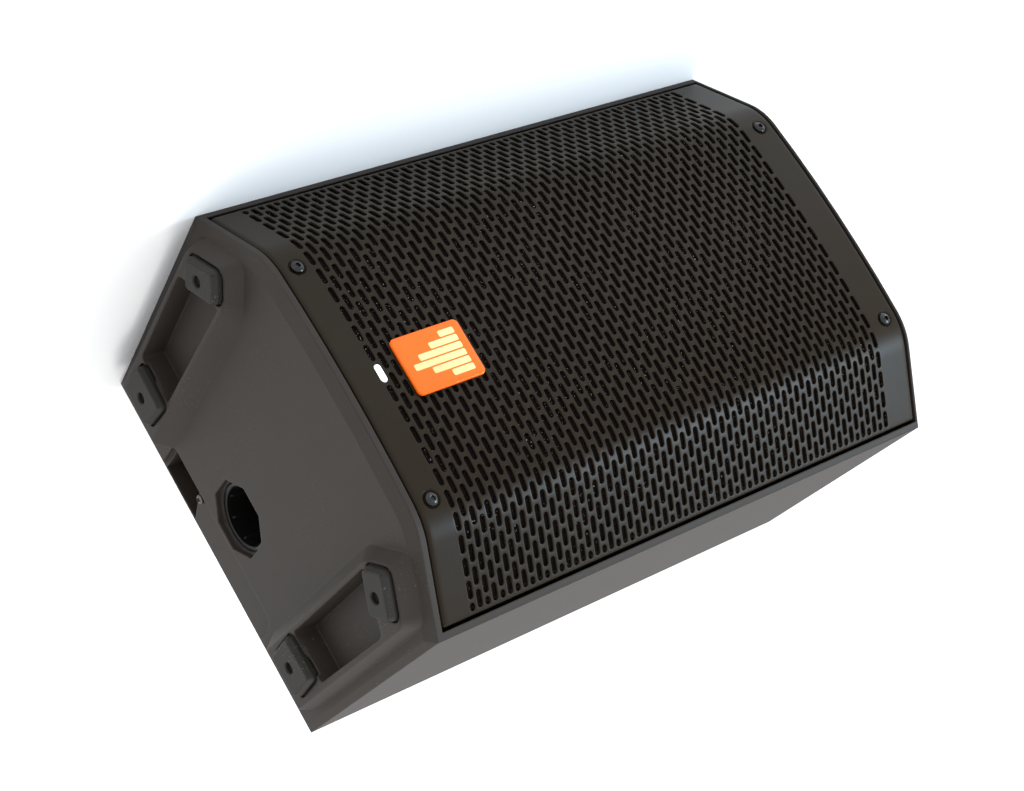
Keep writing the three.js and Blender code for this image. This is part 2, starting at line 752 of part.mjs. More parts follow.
function horn() {
  const flange = solid(prismY(roundedBox(166, 128, 8, 0, HORN_Z, 2), 2.4, 5.4));
  const mouth = solid(prismY(hornMouth, 2, 6));
  const throat = solid(rodY(13, THROAT - 1, THROAT + 1, 12).translate(0, 0, HORN_Z));
  return cutFrom(joined([flange, flare(2.4)]), [mouth, flare(0), throat]);
}

piece("horn", horn(), MOULDED);
piece(
  "horn_driver",
  latheY(
    [
      [0, -102],
      [26, -102],
      [38, -96],
      [38, -74],
      [30, -72],
      [30, THROAT - GAP],
      [13, THROAT - GAP],
      [13, -60],
      [0, -60],
    ],
    24,
  ),
  STEEL_BLACK,
  [0, 0, HORN_Z],
);
[1, -1].forEach((side, i) =>
  piece(
    `port_tube_${i + 1}`,
    latheY(
      closed([
        [PORT_RADIUS, -88],
        [PORT_RADIUS + 2, -88],
        [PORT_RADIUS + 2, BAFFLE_FRONT + GAP],
        [PORT_RADIUS + 4, BAFFLE_FRONT + GAP],
        [PORT_RADIUS + 4, BAFFLE_FRONT + 2],
        [PORT_RADIUS + 2, BAFFLE_FRONT + 3],
        [PORT_RADIUS, BAFFLE_FRONT - 2],
      ]),
      20,
    ),
    MOULDED,
    [side * PORT_X, 0, HORN_Z],
  ),
);

// ---------- rear panel ----------

const BUTTON_X = SOCKET_X;

function rearPanel() {
  const plate = solid(
    prismY(
      roundedBox(2 * PANEL.halfWidth, panelHeight, 7, 0, panelMiddle),
      PANEL_OUT,
      RECESS_FLOOR - GAP,
    ),
  );
  const hole = (radius, x, z, sides = 10) =>
    solid(rodY(radius, PANEL_OUT - 5, RECESS_FLOOR + 5, sides).translate(x, 0, z));
  const cutout = (width, height, x, z) =>
    solid(prismY(roundedBox(width, height, 1.5, x, z, 2), PANEL_OUT - 5, RECESS_FLOOR + 5));
  return cutFrom(plate, [
    ...KNOB_X.map((x) => hole(3.6, x, KNOB_Z)),
    ...SOCKET_X.map((x) => hole(12.6, x, SOCKET_Z, 20)),
    ...SOCKET_X.map((x) => cutout(9.2, 4.2, x, SOCKET_Z + 14.6)),
    ...BUTTON_X.map((x) => hole(3.9, x, BUTTON_Z)),
    cutout(20.6, 14.6, SWITCH.x, SWITCH.z),
    cutout(28.6, 21.6, INLET.x, INLET.z),
    ...panelScrews.map(([x, z]) => hole(1.9, x, z, 8)),
  ]);
}

piece("rear_panel", rearPanel(), PANEL_PAINT);
const panelScrew = latheY(
  [[0, 0], [3.2, 0], [3.2, -1.2], [2.2, -2], [0, -2]],
  10,
);
const panelScrewBody = joined([solid(panelScrew), solid(rodY(1.5, -0.5, 5, 8))]);
panelScrews.forEach(([x, z], i) =>
  piece(`panel_screw_${i + 1}`, panelScrewBody, BLACK_SCREW, [x, PANEL_OUT - GAP, z]),
);

// Upright cooling fins on a base plate.
function heatsink() {
  const [half, base, tip, pitch, fin] = [68, PANEL_OUT - GAP, -174.4, 8, 3];
  const floor = base - 3;
  const comb = [v2(half, base), v2(-half, base)];
  for (let x = -half; x < half; x += pitch) {
    comb.push(v2(x, tip), v2(x + fin, tip), v2(x + fin, floor), v2(x + pitch, floor));
  }
  comb.pop();
  comb.pop();
  comb.push(v2(half, tip));
  return prismZ(comb, 180, 236);
}

piece("heatsink", heatsink(), ALUMINIUM);

// A fluted knob with a pointer ridge, on the shaft that runs through the panel.
function knob() {
  const skirt = solid(latheY([[0, 6], [3, 6], [3, 0], [8.2, 0], [8.2, -2.5], [0, -3]], 16));
  const flutes = Array.from({ length: 24 }, (_, i) => {
    const angle = (i / 24) * Math.PI * 2;
    const radius = i % 2 ? 6.6 : 5.9;
    return v2(radius * Math.cos(angle), radius * Math.sin(angle));
  });
  const grip = solid(hullY([flutes, -2], [flutes, -9.4], [ringOf(5, 24), -10.4]));
  const pointer = solid(block(-0.6, 0.6, -10.8, -4, 1.5, 7.2));
  return joined([skirt, grip, pointer]);
}

const knobBody = knob();
KNOB_X.forEach((x, i) => piece(`knob_${i + 1}`, knobBody, GLOSSY, [x, PANEL_OUT - GAP, KNOB_Z]));

// ---------- sockets, latches and buttons ----------

// Combination socket: a flanged body with three contact holes around a jack hole.
function inputSocket() {
  const flange = solid(prismY(roundedBox(26, 31, 3, 0, 1.5), -2, 0));
  const barrel = solid(rodY(11.9, -1, 22, 20));
  const contacts = [90, 210, 330].map((degrees) => {
    const angle = THREE.MathUtils.degToRad(degrees);
    return solid(
      rodY(1.4, -3, 8, 8).translate(7.4 * Math.cos(angle), 0, -7.4 * Math.sin(angle)),
    );
  });
  const latchSlot = solid(block(-4.2, 4.2, -3, 1, 13, 16.2));
  return cutFrom(flange.add(barrel), [...contacts, solid(rodY(4.2, -3, 18, 16)), latchSlot]);
}

const socketBody = inputSocket();
SOCKET_X.forEach((x, i) => {
  piece(`input_socket_${i + 1}`, socketBody, GLOSSY, [x, PANEL_OUT - GAP, SOCKET_Z]);
  piece(`socket_latch_${i + 1}`, block(-3.8, 3.8, -4.6, 4, 13.4, 15.8), ZINC, [
    x,
    PANEL_OUT - GAP,
    SOCKET_Z,
  ]);
  piece(
    `push_button_${i + 1}`,
    latheY([[0, 6], [4.8, 6], [4.8, 3.6], [3.5, 3.6], [3.5, -3.4], [3, -4], [0, -4]], 14),
    GLOSSY,
    [BUTTON_X[i], PANEL_OUT, BUTTON_Z],
  );
});

// ---------- mains switch and inlet ----------

function switchFrame() {
  const bezel = solid(prismY(roundedBox(26, 19, 2, 0, 0, 2), -2, 0));
  const box = solid(block(-9.6, 9.6, -1, 18, -6.6, 6.6));
  const well = solid(block(-8, 8, -3, 12, -5, 5));
  return bezel.add(box).subtract(well);
}

// The rocker: a shallow V that tips about its middle, resting with one side out.
const rockerProfile = [v2(-6.9, -3.6), v2(0, -2.6), v2(6.9, -3.6), v2(6, 4), v2(-6, 4)];
const rocker = prismZ(rockerProfile, -4.6, 4.6).rotateZ(THREE.MathUtils.degToRad(ROCKER_TILT));

piece("switch_frame", switchFrame(), GLOSSY, [SWITCH.x, PANEL_OUT - GAP, SWITCH.z]);
piece("power_rocker", rocker, GLOSSY, [SWITCH.x, PANEL_OUT - GAP, SWITCH.z]);

// Mains inlet: a flanged cup with three flat pins and a fuse drawer below them.
function mainsInlet() {
  const flange = solid(prismY(roundedBox(50, 28, 3, 0, 0, 3), -2.2, 0));
  const shell = solid(prismY(roundedBox(28, 21, 2, 0, 0, 2), -1, 21));
  const cup = solid(prismY(roundedBox(24.4, 16.8, 3, 0, 0, 3), -3, 18));
  const pins = [[-7, -1.6], [7, -1.6], [0, 2.4]].map(([x, z]) =>
    solid(block(x - 1, x + 1, 6, 19, z - 2, z + 2)),
  );
  return joined([flange.add(shell).subtract(cup), ...pins]);
}

piece("mains_inlet", mainsInlet(), GLOSSY, [INLET.x, PANEL_OUT - GAP, INLET.z]);

// ---------- electronics ----------

function amplifierBoard() {
  const [near, far] = [-150, -148.4];
  const board = solid(block(-66, 66, near, far, 176, 248));
  const parts = [
    block(-60, -26, far - 0.5, -122, 182, 214),
    block(-18, 6, far - 0.5, -130, 184, 208),
    ...[16, 34, 52].map((x) => rodY(7.5, far - 0.5, -118, 16).translate(x, 0, 194)),
    block(-58, 58, far - 0.5, -138, 226, 234),
    block(-50, 50, RECESS_FLOOR + 4.6, near + 0.5, 190, 226),
  ];
  return joined([board, ...parts.map(solid)]);
}

piece("amplifier_board", amplifierBoard(), BOARD);

// A two-core lead along a smooth curve.
function lead(points, radius) {
  const path = new THREE.CatmullRomCurve3(points.map((p) => new THREE.Vector3(...p)));
  const section = new THREE.Shape(ringOf(radius, 6));
  return new THREE.ExtrudeGeometry(section, { steps: 14, extrudePath: path });
}

piece(
  "woofer_lead",
  lead([[-45, -137, 238], [-60, -126, 243], [-70, -110, 232], [-68, -84, 205], [-60, -64, 186]], 2),
  COPPER_RED,
);
piece(
  "horn_lead",
  lead([[40, -137, 238], [44, -130, 250], [46, -120, 268], [36, -110, 284], [14, -104.6, 300]], 2),
  COPPER_RED,
);

// ---------- carry handle ----------

const gripProfile = [
  [-HANDLE.halfLength, 399.2],
  [-HANDLE.halfLength, GRIP_SEAT + GAP],
  [-61, GRIP_SEAT + GAP],
  [-53, 385.4],
  [53, 385.4],
  [61, GRIP_SEAT + GAP],
  [HANDLE.halfLength, GRIP_SEAT + GAP],
  [HANDLE.halfLength, 399.2],
].map(([x, z]) => v2(x, z));
piece(
  "carry_handle",
  prismY(gripProfile, HANDLE.y - HANDLE.halfWidth + 2, HANDLE.y + HANDLE.halfWidth - 2, {
    bevelEnabled: true,
    bevelThickness: 2,
    bevelSize: 2,
    bevelOffset: -2,
    bevelSegments: 2,
  }),
  RUBBER,
);

// ---------- laid on its side wall ----------

cabinetFrame.quaternion.setFromRotationMatrix(
  new THREE.Matrix4().makeBasis(
    new THREE.Vector3(0, 0, -1),
    new THREE.Vector3(0, -1, 0),
    new THREE.Vector3(-1, 0, 0),
  ),
);
const wedge = new THREE.Group();
wedge.add(cabinetFrame);
wedge.rotation.x = -Math.atan(taper); // the side wall comes level with the floor
const box = new THREE.Box3().setFromObject(wedge, true);
wedge.position.set(-(box.min.x + box.max.x) / 2, -(box.min.y + box.max.y) / 2, -box.min.z);

export default wedge;
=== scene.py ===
"""Visual model of a powered stage monitor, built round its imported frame.

Shapes are worked out in millimetres in the cabinet's own frame, and placed when a mesh is made:
x runs across the front, y out of the front, z from the lower end to the upper end.
"""

import json
import math

import bmesh
import bpy
import numpy as np
from bpy.props import FloatProperty, FloatVectorProperty, IntProperty, PointerProperty
from mathutils import Matrix, Vector


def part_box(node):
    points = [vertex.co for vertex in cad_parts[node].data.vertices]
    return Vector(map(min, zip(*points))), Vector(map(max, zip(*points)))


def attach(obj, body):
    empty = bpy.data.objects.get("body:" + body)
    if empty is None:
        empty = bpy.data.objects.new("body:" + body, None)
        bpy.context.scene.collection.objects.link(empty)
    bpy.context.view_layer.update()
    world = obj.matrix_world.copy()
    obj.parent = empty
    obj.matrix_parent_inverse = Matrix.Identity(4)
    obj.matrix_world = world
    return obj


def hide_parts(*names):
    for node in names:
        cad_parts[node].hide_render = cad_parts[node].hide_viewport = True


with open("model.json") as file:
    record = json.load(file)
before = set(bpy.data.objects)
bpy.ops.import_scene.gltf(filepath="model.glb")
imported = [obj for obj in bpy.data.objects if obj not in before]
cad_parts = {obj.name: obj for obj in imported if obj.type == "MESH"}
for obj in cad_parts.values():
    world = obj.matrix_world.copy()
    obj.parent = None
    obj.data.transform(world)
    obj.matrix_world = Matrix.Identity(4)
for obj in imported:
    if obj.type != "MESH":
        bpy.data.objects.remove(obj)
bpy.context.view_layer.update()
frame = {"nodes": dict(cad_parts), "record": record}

bl_info = {
    "name": "Stage monitor",
    "version": (1, 0, 0),
    "blender": (4, 5, 0),
    "location": "3D View > Sidebar > Monitor",
    "description": "Builds the pieces and finishes of a powered stage monitor",
    "category": "Add Mesh",
}

# ---------- the cabinet's frame ----------

HEIGHT = 400.0
MOUNTS = {mount["name"]: mount for mount in frame["record"]["mounts"]}
UPPER_MARK = np.array([0.0, -20.0, HEIGHT])  # the point that the record's upper end mount names
Z_AXIS = np.array(MOUNTS["upper_end_face"]["axis"], float)
Y_AXIS = -np.array(MOUNTS["rear_wall_face"]["axis"], float)
AXES = np.stack([np.cross(Y_AXIS, Z_AXIS), Y_AXIS, Z_AXIS])
MM = 0.001
ORIGIN = np.array(MOUNTS["upper_end_face"]["pos_m"], float) - (UPPER_MARK * MM) @ AXES


def to_row(points):
    """Cabinet millimetres to metres in the row's frame: origin plus coordinates times axes."""
    return ORIGIN + (np.asarray(points, float) * MM) @ AXES


def to_cabinet(points):
    """Metres in the row's frame back to cabinet millimetres, along the same three axes."""
    return (np.asarray(points, float) - ORIGIN) @ AXES.T / MM


def middle_of(node):
    """The middle of a CAD node's box, in cabinet millimetres."""
    low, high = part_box(node)
    return to_cabinet((np.array(low) + np.array(high)) / 2)


# ---------- the front's outline ----------

FRONT_HALF = 140.0  # half width at the front corners
FACET_HALF = 86.7  # half width of the middle facet
FACET_RISE = 38.5  # how far the middle facet stands forward of the corners
CROWN = 4.5
BEND = 12.0


def bezier(start, control, end, steps):
    """Quadratic curve: (1 - u)^2 start + 2u(1 - u) control + u^2 end."""
    u = np.linspace(0, 1, steps)[:, None]
    start, control, end = (np.array(p, float) for p in (start, control, end))
    return (1 - u) ** 2 * start + 2 * u * (1 - u) * control + u**2 * end


def front_outline():
    """Points x, y across the front, their arc length from the middle, and the unit normals."""
    bend_in = (FACET_HALF + BEND * 0.81, FACET_RISE - BEND * 0.586)
    bend_out = (FACET_HALF - BEND, FACET_RISE + CROWN * 0.3)
    bend = bezier(bend_in, (FACET_HALF, FACET_RISE), bend_out, 33)
    crown = bezier(bend_out, (0, FACET_RISE + CROWN * 1.7), (-bend_out[0], bend_out[1]), 201)
    right = np.vstack([[(FRONT_HALF, 0.0)], bend, crown[1:101]])
    line = np.vstack([right * (-1, 1), right[::-1][1:]])
    steps = np.diff(line, axis=0)
    length = np.concatenate([[0], np.cumsum(np.hypot(steps[:, 0], steps[:, 1]))])
    along = np.gradient(line, length, axis=0)
    along /= np.linalg.norm(along, axis=1)[:, None]
    return line, length - length[-1] / 2, np.stack([-along[:, 1], along[:, 0]], 1)


LINE, ARC, NORMALS = front_outline()


def front_frame(s):
    """The front's point and normal, both in x and y, at arc length s from the middle."""
    point = np.stack([np.interp(s, ARC, LINE[:, k]) for k in (0, 1)], -1)
    normal = np.stack([np.interp(s, ARC, NORMALS[:, k]) for k in (0, 1)], -1)
    return point, normal


def front_points(s, z, depth, drop=0.0):
    """Points at arc length s and height z, depth below the front, then drop to the rear."""
    point, normal = front_frame(s)
    flat = point - normal * np.asarray(depth)[..., None]
    return np.stack([flat[..., 0], flat[..., 1] - drop, np.broadcast_to(z, flat[..., 0].shape)], -1)


def arc_at(x):
    """Arc length from the middle to where the front's half width is x."""
    return float(np.interp(x, LINE[:, 0], ARC))


# ---------- meshes ----------


def grid_faces(rows, columns, around=False):
    """Quads between neighbouring points of a grid; around joins the last column to the first."""
    i = np.arange(rows - 1)[:, None] * columns
    j = np.arange(columns if around else columns - 1)[None]
    after = (j + 1) % columns
    corners = (i + j, i + after, i + columns + after, i + columns + j)
    return np.stack(np.broadcast_arrays(*corners), -1).reshape(-1, 4)


# record slots of the finishes that go by another name there
SLOTS = {
    "zinc_plate": "zinc_steel",
    # the rear edge screw: zinc darkened to paint the shade of its notch
    "dull_zinc": "zinc_steel",
    "black_rubber": "rubber",
    # the pole cup: cabinet plastic darkened to paint the shade inside the cup
    "cup_plastic": "moulded_plastic",
    "badge_emblem": "badge_orange",
}


def place(piece, look, nodes=(), body="housing", slot=None):
    """Gives a piece its finish and its CAD body, and hides the CAD nodes it stands for; the record
    slot it works out is not used.
    """
    slot = slot or SLOTS.get(look, look)
    piece.data.materials.clear()
    piece.data.materials.append(finish(look))
    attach(piece, body)
    if nodes:
        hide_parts(*nodes)


def new_piece(name, points, faces, sharp=30):
    """A mesh object from cabinet millimetres, with doubles merged and its faces pointing out."""
    mesh = bpy.data.meshes.new(name)
    mesh.from_pydata(to_row(np.reshape(points, (-1, 3))).tolist(), [], np.asarray(faces).tolist())
    shape = bmesh.new()
    shape.from_mesh(mesh)
    bmesh.ops.remove_doubles(shape, verts=shape.verts, dist=2e-6)
    bmesh.ops.recalc_face_normals(shape, faces=shape.faces)
    shape.to_mesh(mesh)
    shape.free()
    mesh.shade_smooth()
    mesh.set_sharp_from_angle(angle=math.radians(sharp))
    piece = bpy.data.objects.new(name, mesh)
    bpy.context.scene.collection.objects.link(piece)
    return piece


def rounded_copy(node, name, width, segments=2, sharp=28, clamp=False):
    """A copy of a CAD node with its flat faces joined up and its edges rounded to a width in mm."""
    mesh = frame["nodes"][node].data.copy()
    mesh.name = name
    shape = bmesh.new()
    shape.from_mesh(mesh)
    bmesh.ops.remove_doubles(shape, verts=shape.verts, dist=1.5e-4)
    bmesh.ops.dissolve_limit(
        shape, angle_limit=math.radians(0.6), verts=shape.verts, edges=shape.edges
    )
    shape.to_mesh(mesh)
    shape.free()
    mesh.shade_smooth()
    mesh.set_sharp_from_angle(angle=math.radians(sharp))
    piece = bpy.data.objects.new(name, mesh)
    bpy.context.scene.collection.objects.link(piece)
    rounding = piece.modifiers.new("rounding", "BEVEL")
    rounding.width = width * MM
    rounding.segments = segments
    rounding.limit_method = "ANGLE"
    rounding.angle_limit = math.radians(sharp)
    rounding.use_clamp_overlap = clamp
    even = piece.modifiers.new("even_shading", "WEIGHTED_NORMAL")
    even.keep_sharp = True
    return piece


def turned(profile, sides, ripple=None):
    """Points of (radius, height) pairs carried round an axis: x = r cos a, y = r sin a, z = height.

    ripple(angle) is each angle's factor; a pair takes the share of it that its third value says.
    """
    rows = np.array([(*pair, 0.0)[:3] for pair in profile])
    angle = np.arange(sides) * 2 * math.pi / sides
    factor = 1.0 if ripple is None else 1 + rows[:, 2:3] * (ripple(angle)[None] - 1)
    radius = rows[:, 0:1] * factor * np.ones(sides)
    height = np.broadcast_to(rows[:, 1:2], radius.shape)
    return np.stack([radius * np.cos(angle), radius * np.sin(angle), height], -1)


def stand(points, at, out):
    """Local points moved so that their z axis leaves the point `at` along the direction `out`."""
    out = np.array(out, float) / np.linalg.norm(out)
    side = np.cross((0.0, 0.0, 1.0) if abs(out[2]) < 0.9 else (0.0, 1.0, 0.0), out)
    side /= np.linalg.norm(side)
    basis = np.stack([side, np.cross(out, side), out])
    return np.asarray(at, float) + np.asarray(points) @ basis


def turned_piece(name, profile, sides, at, out, ripple=None, sharp=30):
    """A turned body; a profile that starts and ends off the axis is closed on itself."""
    pairs = list(profile)
    if pairs[0][0] > 0:
        pairs.append(pairs[0])
    points = stand(turned(pairs, sides, ripple), at, out)
    return new_piece(name, points, grid_faces(len(pairs), sides, around=True), sharp)


def rounded_rectangle(width, height, radius, steps=6):
    """Outline of a rectangle with round corners: quarter circles about the four corner centres."""
    corner = np.linspace(0, math.pi / 2, steps + 1)
    quarters = []
    for k, (i, j) in enumerate([(1, 1), (-1, 1), (-1, -1), (1, -1)]):
        angle = corner + k * math.pi / 2
        centre = np.array([i * (width / 2 - radius), j * (height / 2 - radius)])
        quarters.append(centre + radius * np.stack([np.cos(angle), np.sin(angle)], 1))
    return np.vstack(quarters)


def pillow(outline_at, levels):
    """Rings of an outline, one for each (inset, height) pair, closed at both ends by a point."""
    outlines = [(outline_at(gap), height) for gap, height in levels]
    rings = [np.column_stack([line, np.full(len(line), height)]) for line, height in outlines]
    first = np.broadcast_to(np.append(rings[0][:, :2].mean(0), levels[0][1]), rings[0].shape)
    last = np.broadcast_to(np.append(rings[-1][:, :2].mean(0), levels[-1][1]), rings[0].shape)
    return np.stack([first, *rings, last])


def pillow_piece(name, outline_at, levels, at, out, sharp=40):
    rings = pillow(outline_at, levels)
    faces = grid_faces(rings.shape[0], rings.shape[1], around=True)
    return new_piece(name, stand(rings, at, out), faces, sharp)


# ---------- shader groups ----------

WEAR_SAMPLES = 4
SOFT_SAMPLES = 6
DUST_COLOUR = (0.55, 0.52, 0.5)


class Shader:
    """A node tree with short ways to add and join nodes."""

    def __init__(self, tree):
        self.tree = tree

    def node(self, kind, **values):
        made = self.tree.nodes.new(kind)
        for key, value in values.items():
            if hasattr(made, key):
                setattr(made, key, value)
            else:
                made.inputs[key.replace("_", " ").title()].default_value = value
        return made

    def join(self, output, target):
        self.tree.links.new(output, target)

    def math(self, operation, first, second=None):
        """One sum on two values, each a socket or a number."""
        made = self.tree.nodes.new("ShaderNodeMath")
        made.operation = operation
        for socket, value in zip(made.inputs, (first, second)):
            if value is None:
                continue
            if isinstance(value, (int, float)):
                socket.default_value = value
            else:
                self.join(value, socket)
        return made.outputs[0]

    def rounded_normal(self, samples):
        """A node whose normal rounds every edge within its radius, and that radius's socket."""
        made = self.tree.nodes.new("ShaderNodeBevel")
        made.samples = samples
        return made.outputs["Normal"], made.inputs["Radius"]

    def ramp(self, value, low, high):
        """A smooth step of a value from low to high."""
        made = self.tree.nodes.new("ShaderNodeMapRange")
        made.interpolation_type = "SMOOTHSTEP"
        made.inputs["From Min"].default_value = low
        made.inputs["From Max"].default_value = high
        self.join(value, made.inputs["Value"])
        return made.outputs[0]

    def mix(self, mask, first, second):
        """A colour between two, each a socket or a colour."""
        made = self.tree.nodes.new("ShaderNodeMix")
        made.data_type = "RGBA"
        self.join(mask, made.inputs["Factor"])
        for name, value in (("A", first), ("B", second)):
            socket = [s for s in made.inputs if s.name == name and s.type == "RGBA"][0]
            if isinstance(value, bpy.types.NodeSocket):
                self.join(value, socket)
            else:
                socket.default_value = (*value, 1)
        return [s for s in made.outputs if s.type == "RGBA"][0]


def new_group(name, inputs, outputs):
    """A shader node group with its named inputs, their defaults, and its named outputs."""
    tree = bpy.data.node_groups.new(name, "ShaderNodeTree")
    for label, value in inputs.items():
        socket = tree.interface.new_socket(label, in_out="INPUT", socket_type="NodeSocketFloat")
        socket.default_value = value
    for label in outputs:
        tree.interface.new_socket(label, in_out="OUTPUT", socket_type="NodeSocketFloat")
    start = tree.nodes.new("NodeGroupInput")
    end = tree.nodes.new("NodeGroupOutput")
    return tree, Shader(tree), start.outputs, end.inputs


def noise(shader, scale, detail, vector, roughness=0.5):
    made = shader.tree.nodes.new("ShaderNodeTexNoise")
    made.inputs["Detail"].default_value = detail
    made.inputs["Roughness"].default_value = roughness
    if isinstance(scale, (int, float)):
        made.inputs["Scale"].default_value = scale
    else:
        shader.join(scale, made.inputs["Scale"])
    shader.join(vector, made.inputs["Vector"])
    return made.outputs[0]


def grain_group():
    """Height of a cast or sprayed skin, from fine cells and noise, and its slow mottling."""
    tree, shader, given, out = new_group(
        "skin_grain", {"Scale": 1800.0, "Mottle Scale": 30.0}, ["Height", "Mottle"]
    )
    place_of = shader.node("ShaderNodeTexCoord").outputs["Object"]
    cells = shader.tree.nodes.new("ShaderNodeTexVoronoi")
    shader.join(place_of, cells.inputs["Vector"])
    shader.join(given["Scale"], cells.inputs["Scale"])
    fine = noise(shader, shader.math("MULTIPLY", given["Scale"], 0.5), 3.0, place_of)
    height = shader.math("ADD", shader.math("MULTIPLY", cells.outputs["Distance"], 0.6), fine)
    shader.join(height, out["Height"])
    shader.join(noise(shader, given["Mottle Scale"], 4.0, place_of, 0.6), out["Mottle"])
    return tree


def wear_group():
    """Mask of rubbed edges: where a rounded normal leaves the true one, broken up by noise."""
    inputs = {"Radius": 0.0008, "Amount": 0.5}
    tree, shader, given, out = new_group("rubbed_edges", inputs, ["Mask"])
    place_of = shader.node("ShaderNodeTexCoord").outputs["Object"]
    rounded, radius = shader.rounded_normal(WEAR_SAMPLES)
    shader.join(given["Radius"], radius)
    across = shader.tree.nodes.new("ShaderNodeVectorMath")
    across.operation = "DOT_PRODUCT"
    shader.join(rounded, across.inputs[0])
    shader.join(shader.node("ShaderNodeNewGeometry").outputs["Normal"], across.inputs[1])
    edge = shader.ramp(shader.math("SUBTRACT", 1.0, across.outputs["Value"]), 0.02, 0.15)
    broken = shader.ramp(noise(shader, 150.0, 5.0, place_of, 0.7), 0.4, 0.62)
    rubbed = shader.math("MULTIPLY", edge, broken)
    shader.join(shader.math("MULTIPLY", rubbed, given["Amount"]), out["Mask"])
    return tree


def dust_group():
    """Mask of fine dust: sparse specks of noise."""
    tree, shader, given, out = new_group("dust_specks", {"Scale": 900.0, "Cover": 0.3}, ["Mask"])
    place_of = shader.node("ShaderNodeTexCoord").outputs["Object"]
    specks = shader.ramp(noise(shader, given["Scale"], 1.0, place_of), 0.69, 0.74)
    patches = shader.ramp(noise(shader, 22.0, 2.0, place_of), 0.45, 0.65)
    dusty = shader.math("MULTIPLY", specks, patches)
    shader.join(shader.math("MULTIPLY", dusty, given["Cover"]), out["Mask"])
    return tree


GROUPS = {}


def use_group(shader, name, maker, **values):
    """Places a group in a material with its own values, making the group the first time."""
    if name not in GROUPS:
        GROUPS[name] = maker()
    made = shader.tree.nodes.new("ShaderNodeGroup")
    made.node_tree = GROUPS[name]
    for label, value in values.items():
        made.inputs[label.replace("_", " ")].default_value = value
    return made.outputs


def lighter(colour, factor):
    return tuple(min(1.0, c * factor) for c in colour)


def skin(
    name, colour, rough, grain, depth,
    mottle=0.12, wear=0.0, dust=0.0, worn=None, softness=0.0, **fixed,
):
    """A finished surface: mottled colour, grain in the normal, rubbed edges and dust specks.

    softness is the radius in mm by which the shading rounds every edge.
    """
    material = bpy.data.materials.new(name)
    material.use_nodes = True
    shader = Shader(material.node_tree)
    base = material.node_tree.nodes["Principled BSDF"]
    for label, value in fixed.items():
        base.inputs[label.replace("_", " ")].default_value = value
    texture = use_group(shader, "skin_grain", grain_group, Scale=grain)
    shade = shader.ramp(texture["Mottle"], 0.35, 0.65)
    paint = shader.mix(shade, lighter(colour, 1 - mottle), lighter(colour, 1 + mottle))
    roughness = shader.math("ADD", shader.math("MULTIPLY", shade, mottle * 0.2), rough)
    if wear:
        mask = use_group(shader, "rubbed_edges", wear_group, Amount=wear)["Mask"]
        paint = shader.mix(mask, paint, worn or lighter(colour, 3.0))
        roughness = shader.math("SUBTRACT", roughness, shader.math("MULTIPLY", mask, 0.15))
    if dust:
        mask = use_group(shader, "dust_specks", dust_group, Cover=dust)["Mask"]
        paint = shader.mix(mask, paint, DUST_COLOUR)
    shader.join(paint, base.inputs["Base Color"])
    shader.join(roughness, base.inputs["Roughness"])
    bump = shader.node("ShaderNodeBump")
    bump.inputs["Strength"].default_value = 1.0
    bump.inputs["Distance"].default_value = depth * MM
    shader.join(texture["Height"], bump.inputs["Height"])
    if softness:
        rounded, radius = shader.rounded_normal(SOFT_SAMPLES)
        radius.default_value = softness * MM
        shader.join(rounded, bump.inputs["Normal"])
    shader.join(bump.outputs["Normal"], base.inputs["Normal"])
    return material


# ---------- finishes ----------


class MonitorColours(bpy.types.PropertyGroup):
    """Colours of the finishes."""

    plastic: FloatVectorProperty(
        name="Plastic", description="Moulded cabinet", subtype="COLOR",
        default=(0.0225, 0.0168, 0.0128),
    )
    steel: FloatVectorProperty(
        name="Steel", description="Painted grille", subtype="COLOR",
        default=(0.0145, 0.0095, 0.0045),
    )
    badge: FloatVectorProperty(
        name="Badge", description="Ground of the badge", subtype="COLOR",
        default=(0.86, 0.125, 0.002),
    )
    emblem: FloatVectorProperty(
        name="Emblem", description="Bars on the badge", subtype="COLOR", default=(0.78, 0.60, 0.25)
    )


class MonitorSizes(bpy.types.PropertyGroup):
    """Sizes of the shapes that the CAD frame leaves plain."""

    slot_length: FloatProperty(
        name="Slot length", description="Across the front", unit="LENGTH", default=0.0106
    )
    slot_width: FloatProperty(
        name="Slot width", description="Along the cabinet's height", unit="LENGTH", default=0.0034
    )
    slot_pitch: FloatProperty(
        name="Slot pitch", description="Between slots in a column", unit="LENGTH", default=0.0131
    )
    column_pitch: FloatProperty(
        name="Column pitch", description="Between columns of slots", unit="LENGTH", default=0.005417
    )
    columns: IntProperty(name="Columns", description="Columns of slots", default=64, min=2)
    sheet: FloatProperty(
        name="Sheet", description="Thickness of the grille", unit="LENGTH", default=0.0012
    )
    lip: FloatProperty(
        name="Lip", description="Rounding round each slot", unit="LENGTH", default=0.00035
    )
    edge: FloatProperty(
        name="Edge", description="Rounding of the cabinet's edges", unit="LENGTH", default=0.0005
    )


FINISHES = {}


def finish(name):
    """The material of a finish in LOOKS, made once."""
    if name not in FINISHES:
        colour, *values, extras = LOOKS[name]
        if isinstance(colour, str):
            colour = tuple(getattr(bpy.context.scene.monitor_colours, colour))
        FINISHES[name] = skin(name, colour, *values, **extras)
    return FINISHES[name]


def sizes():
    return bpy.context.scene.monitor_sizes


def sizes_mm(name):
    """One of the sizes in millimetres."""
    return getattr(sizes(), name) / MM


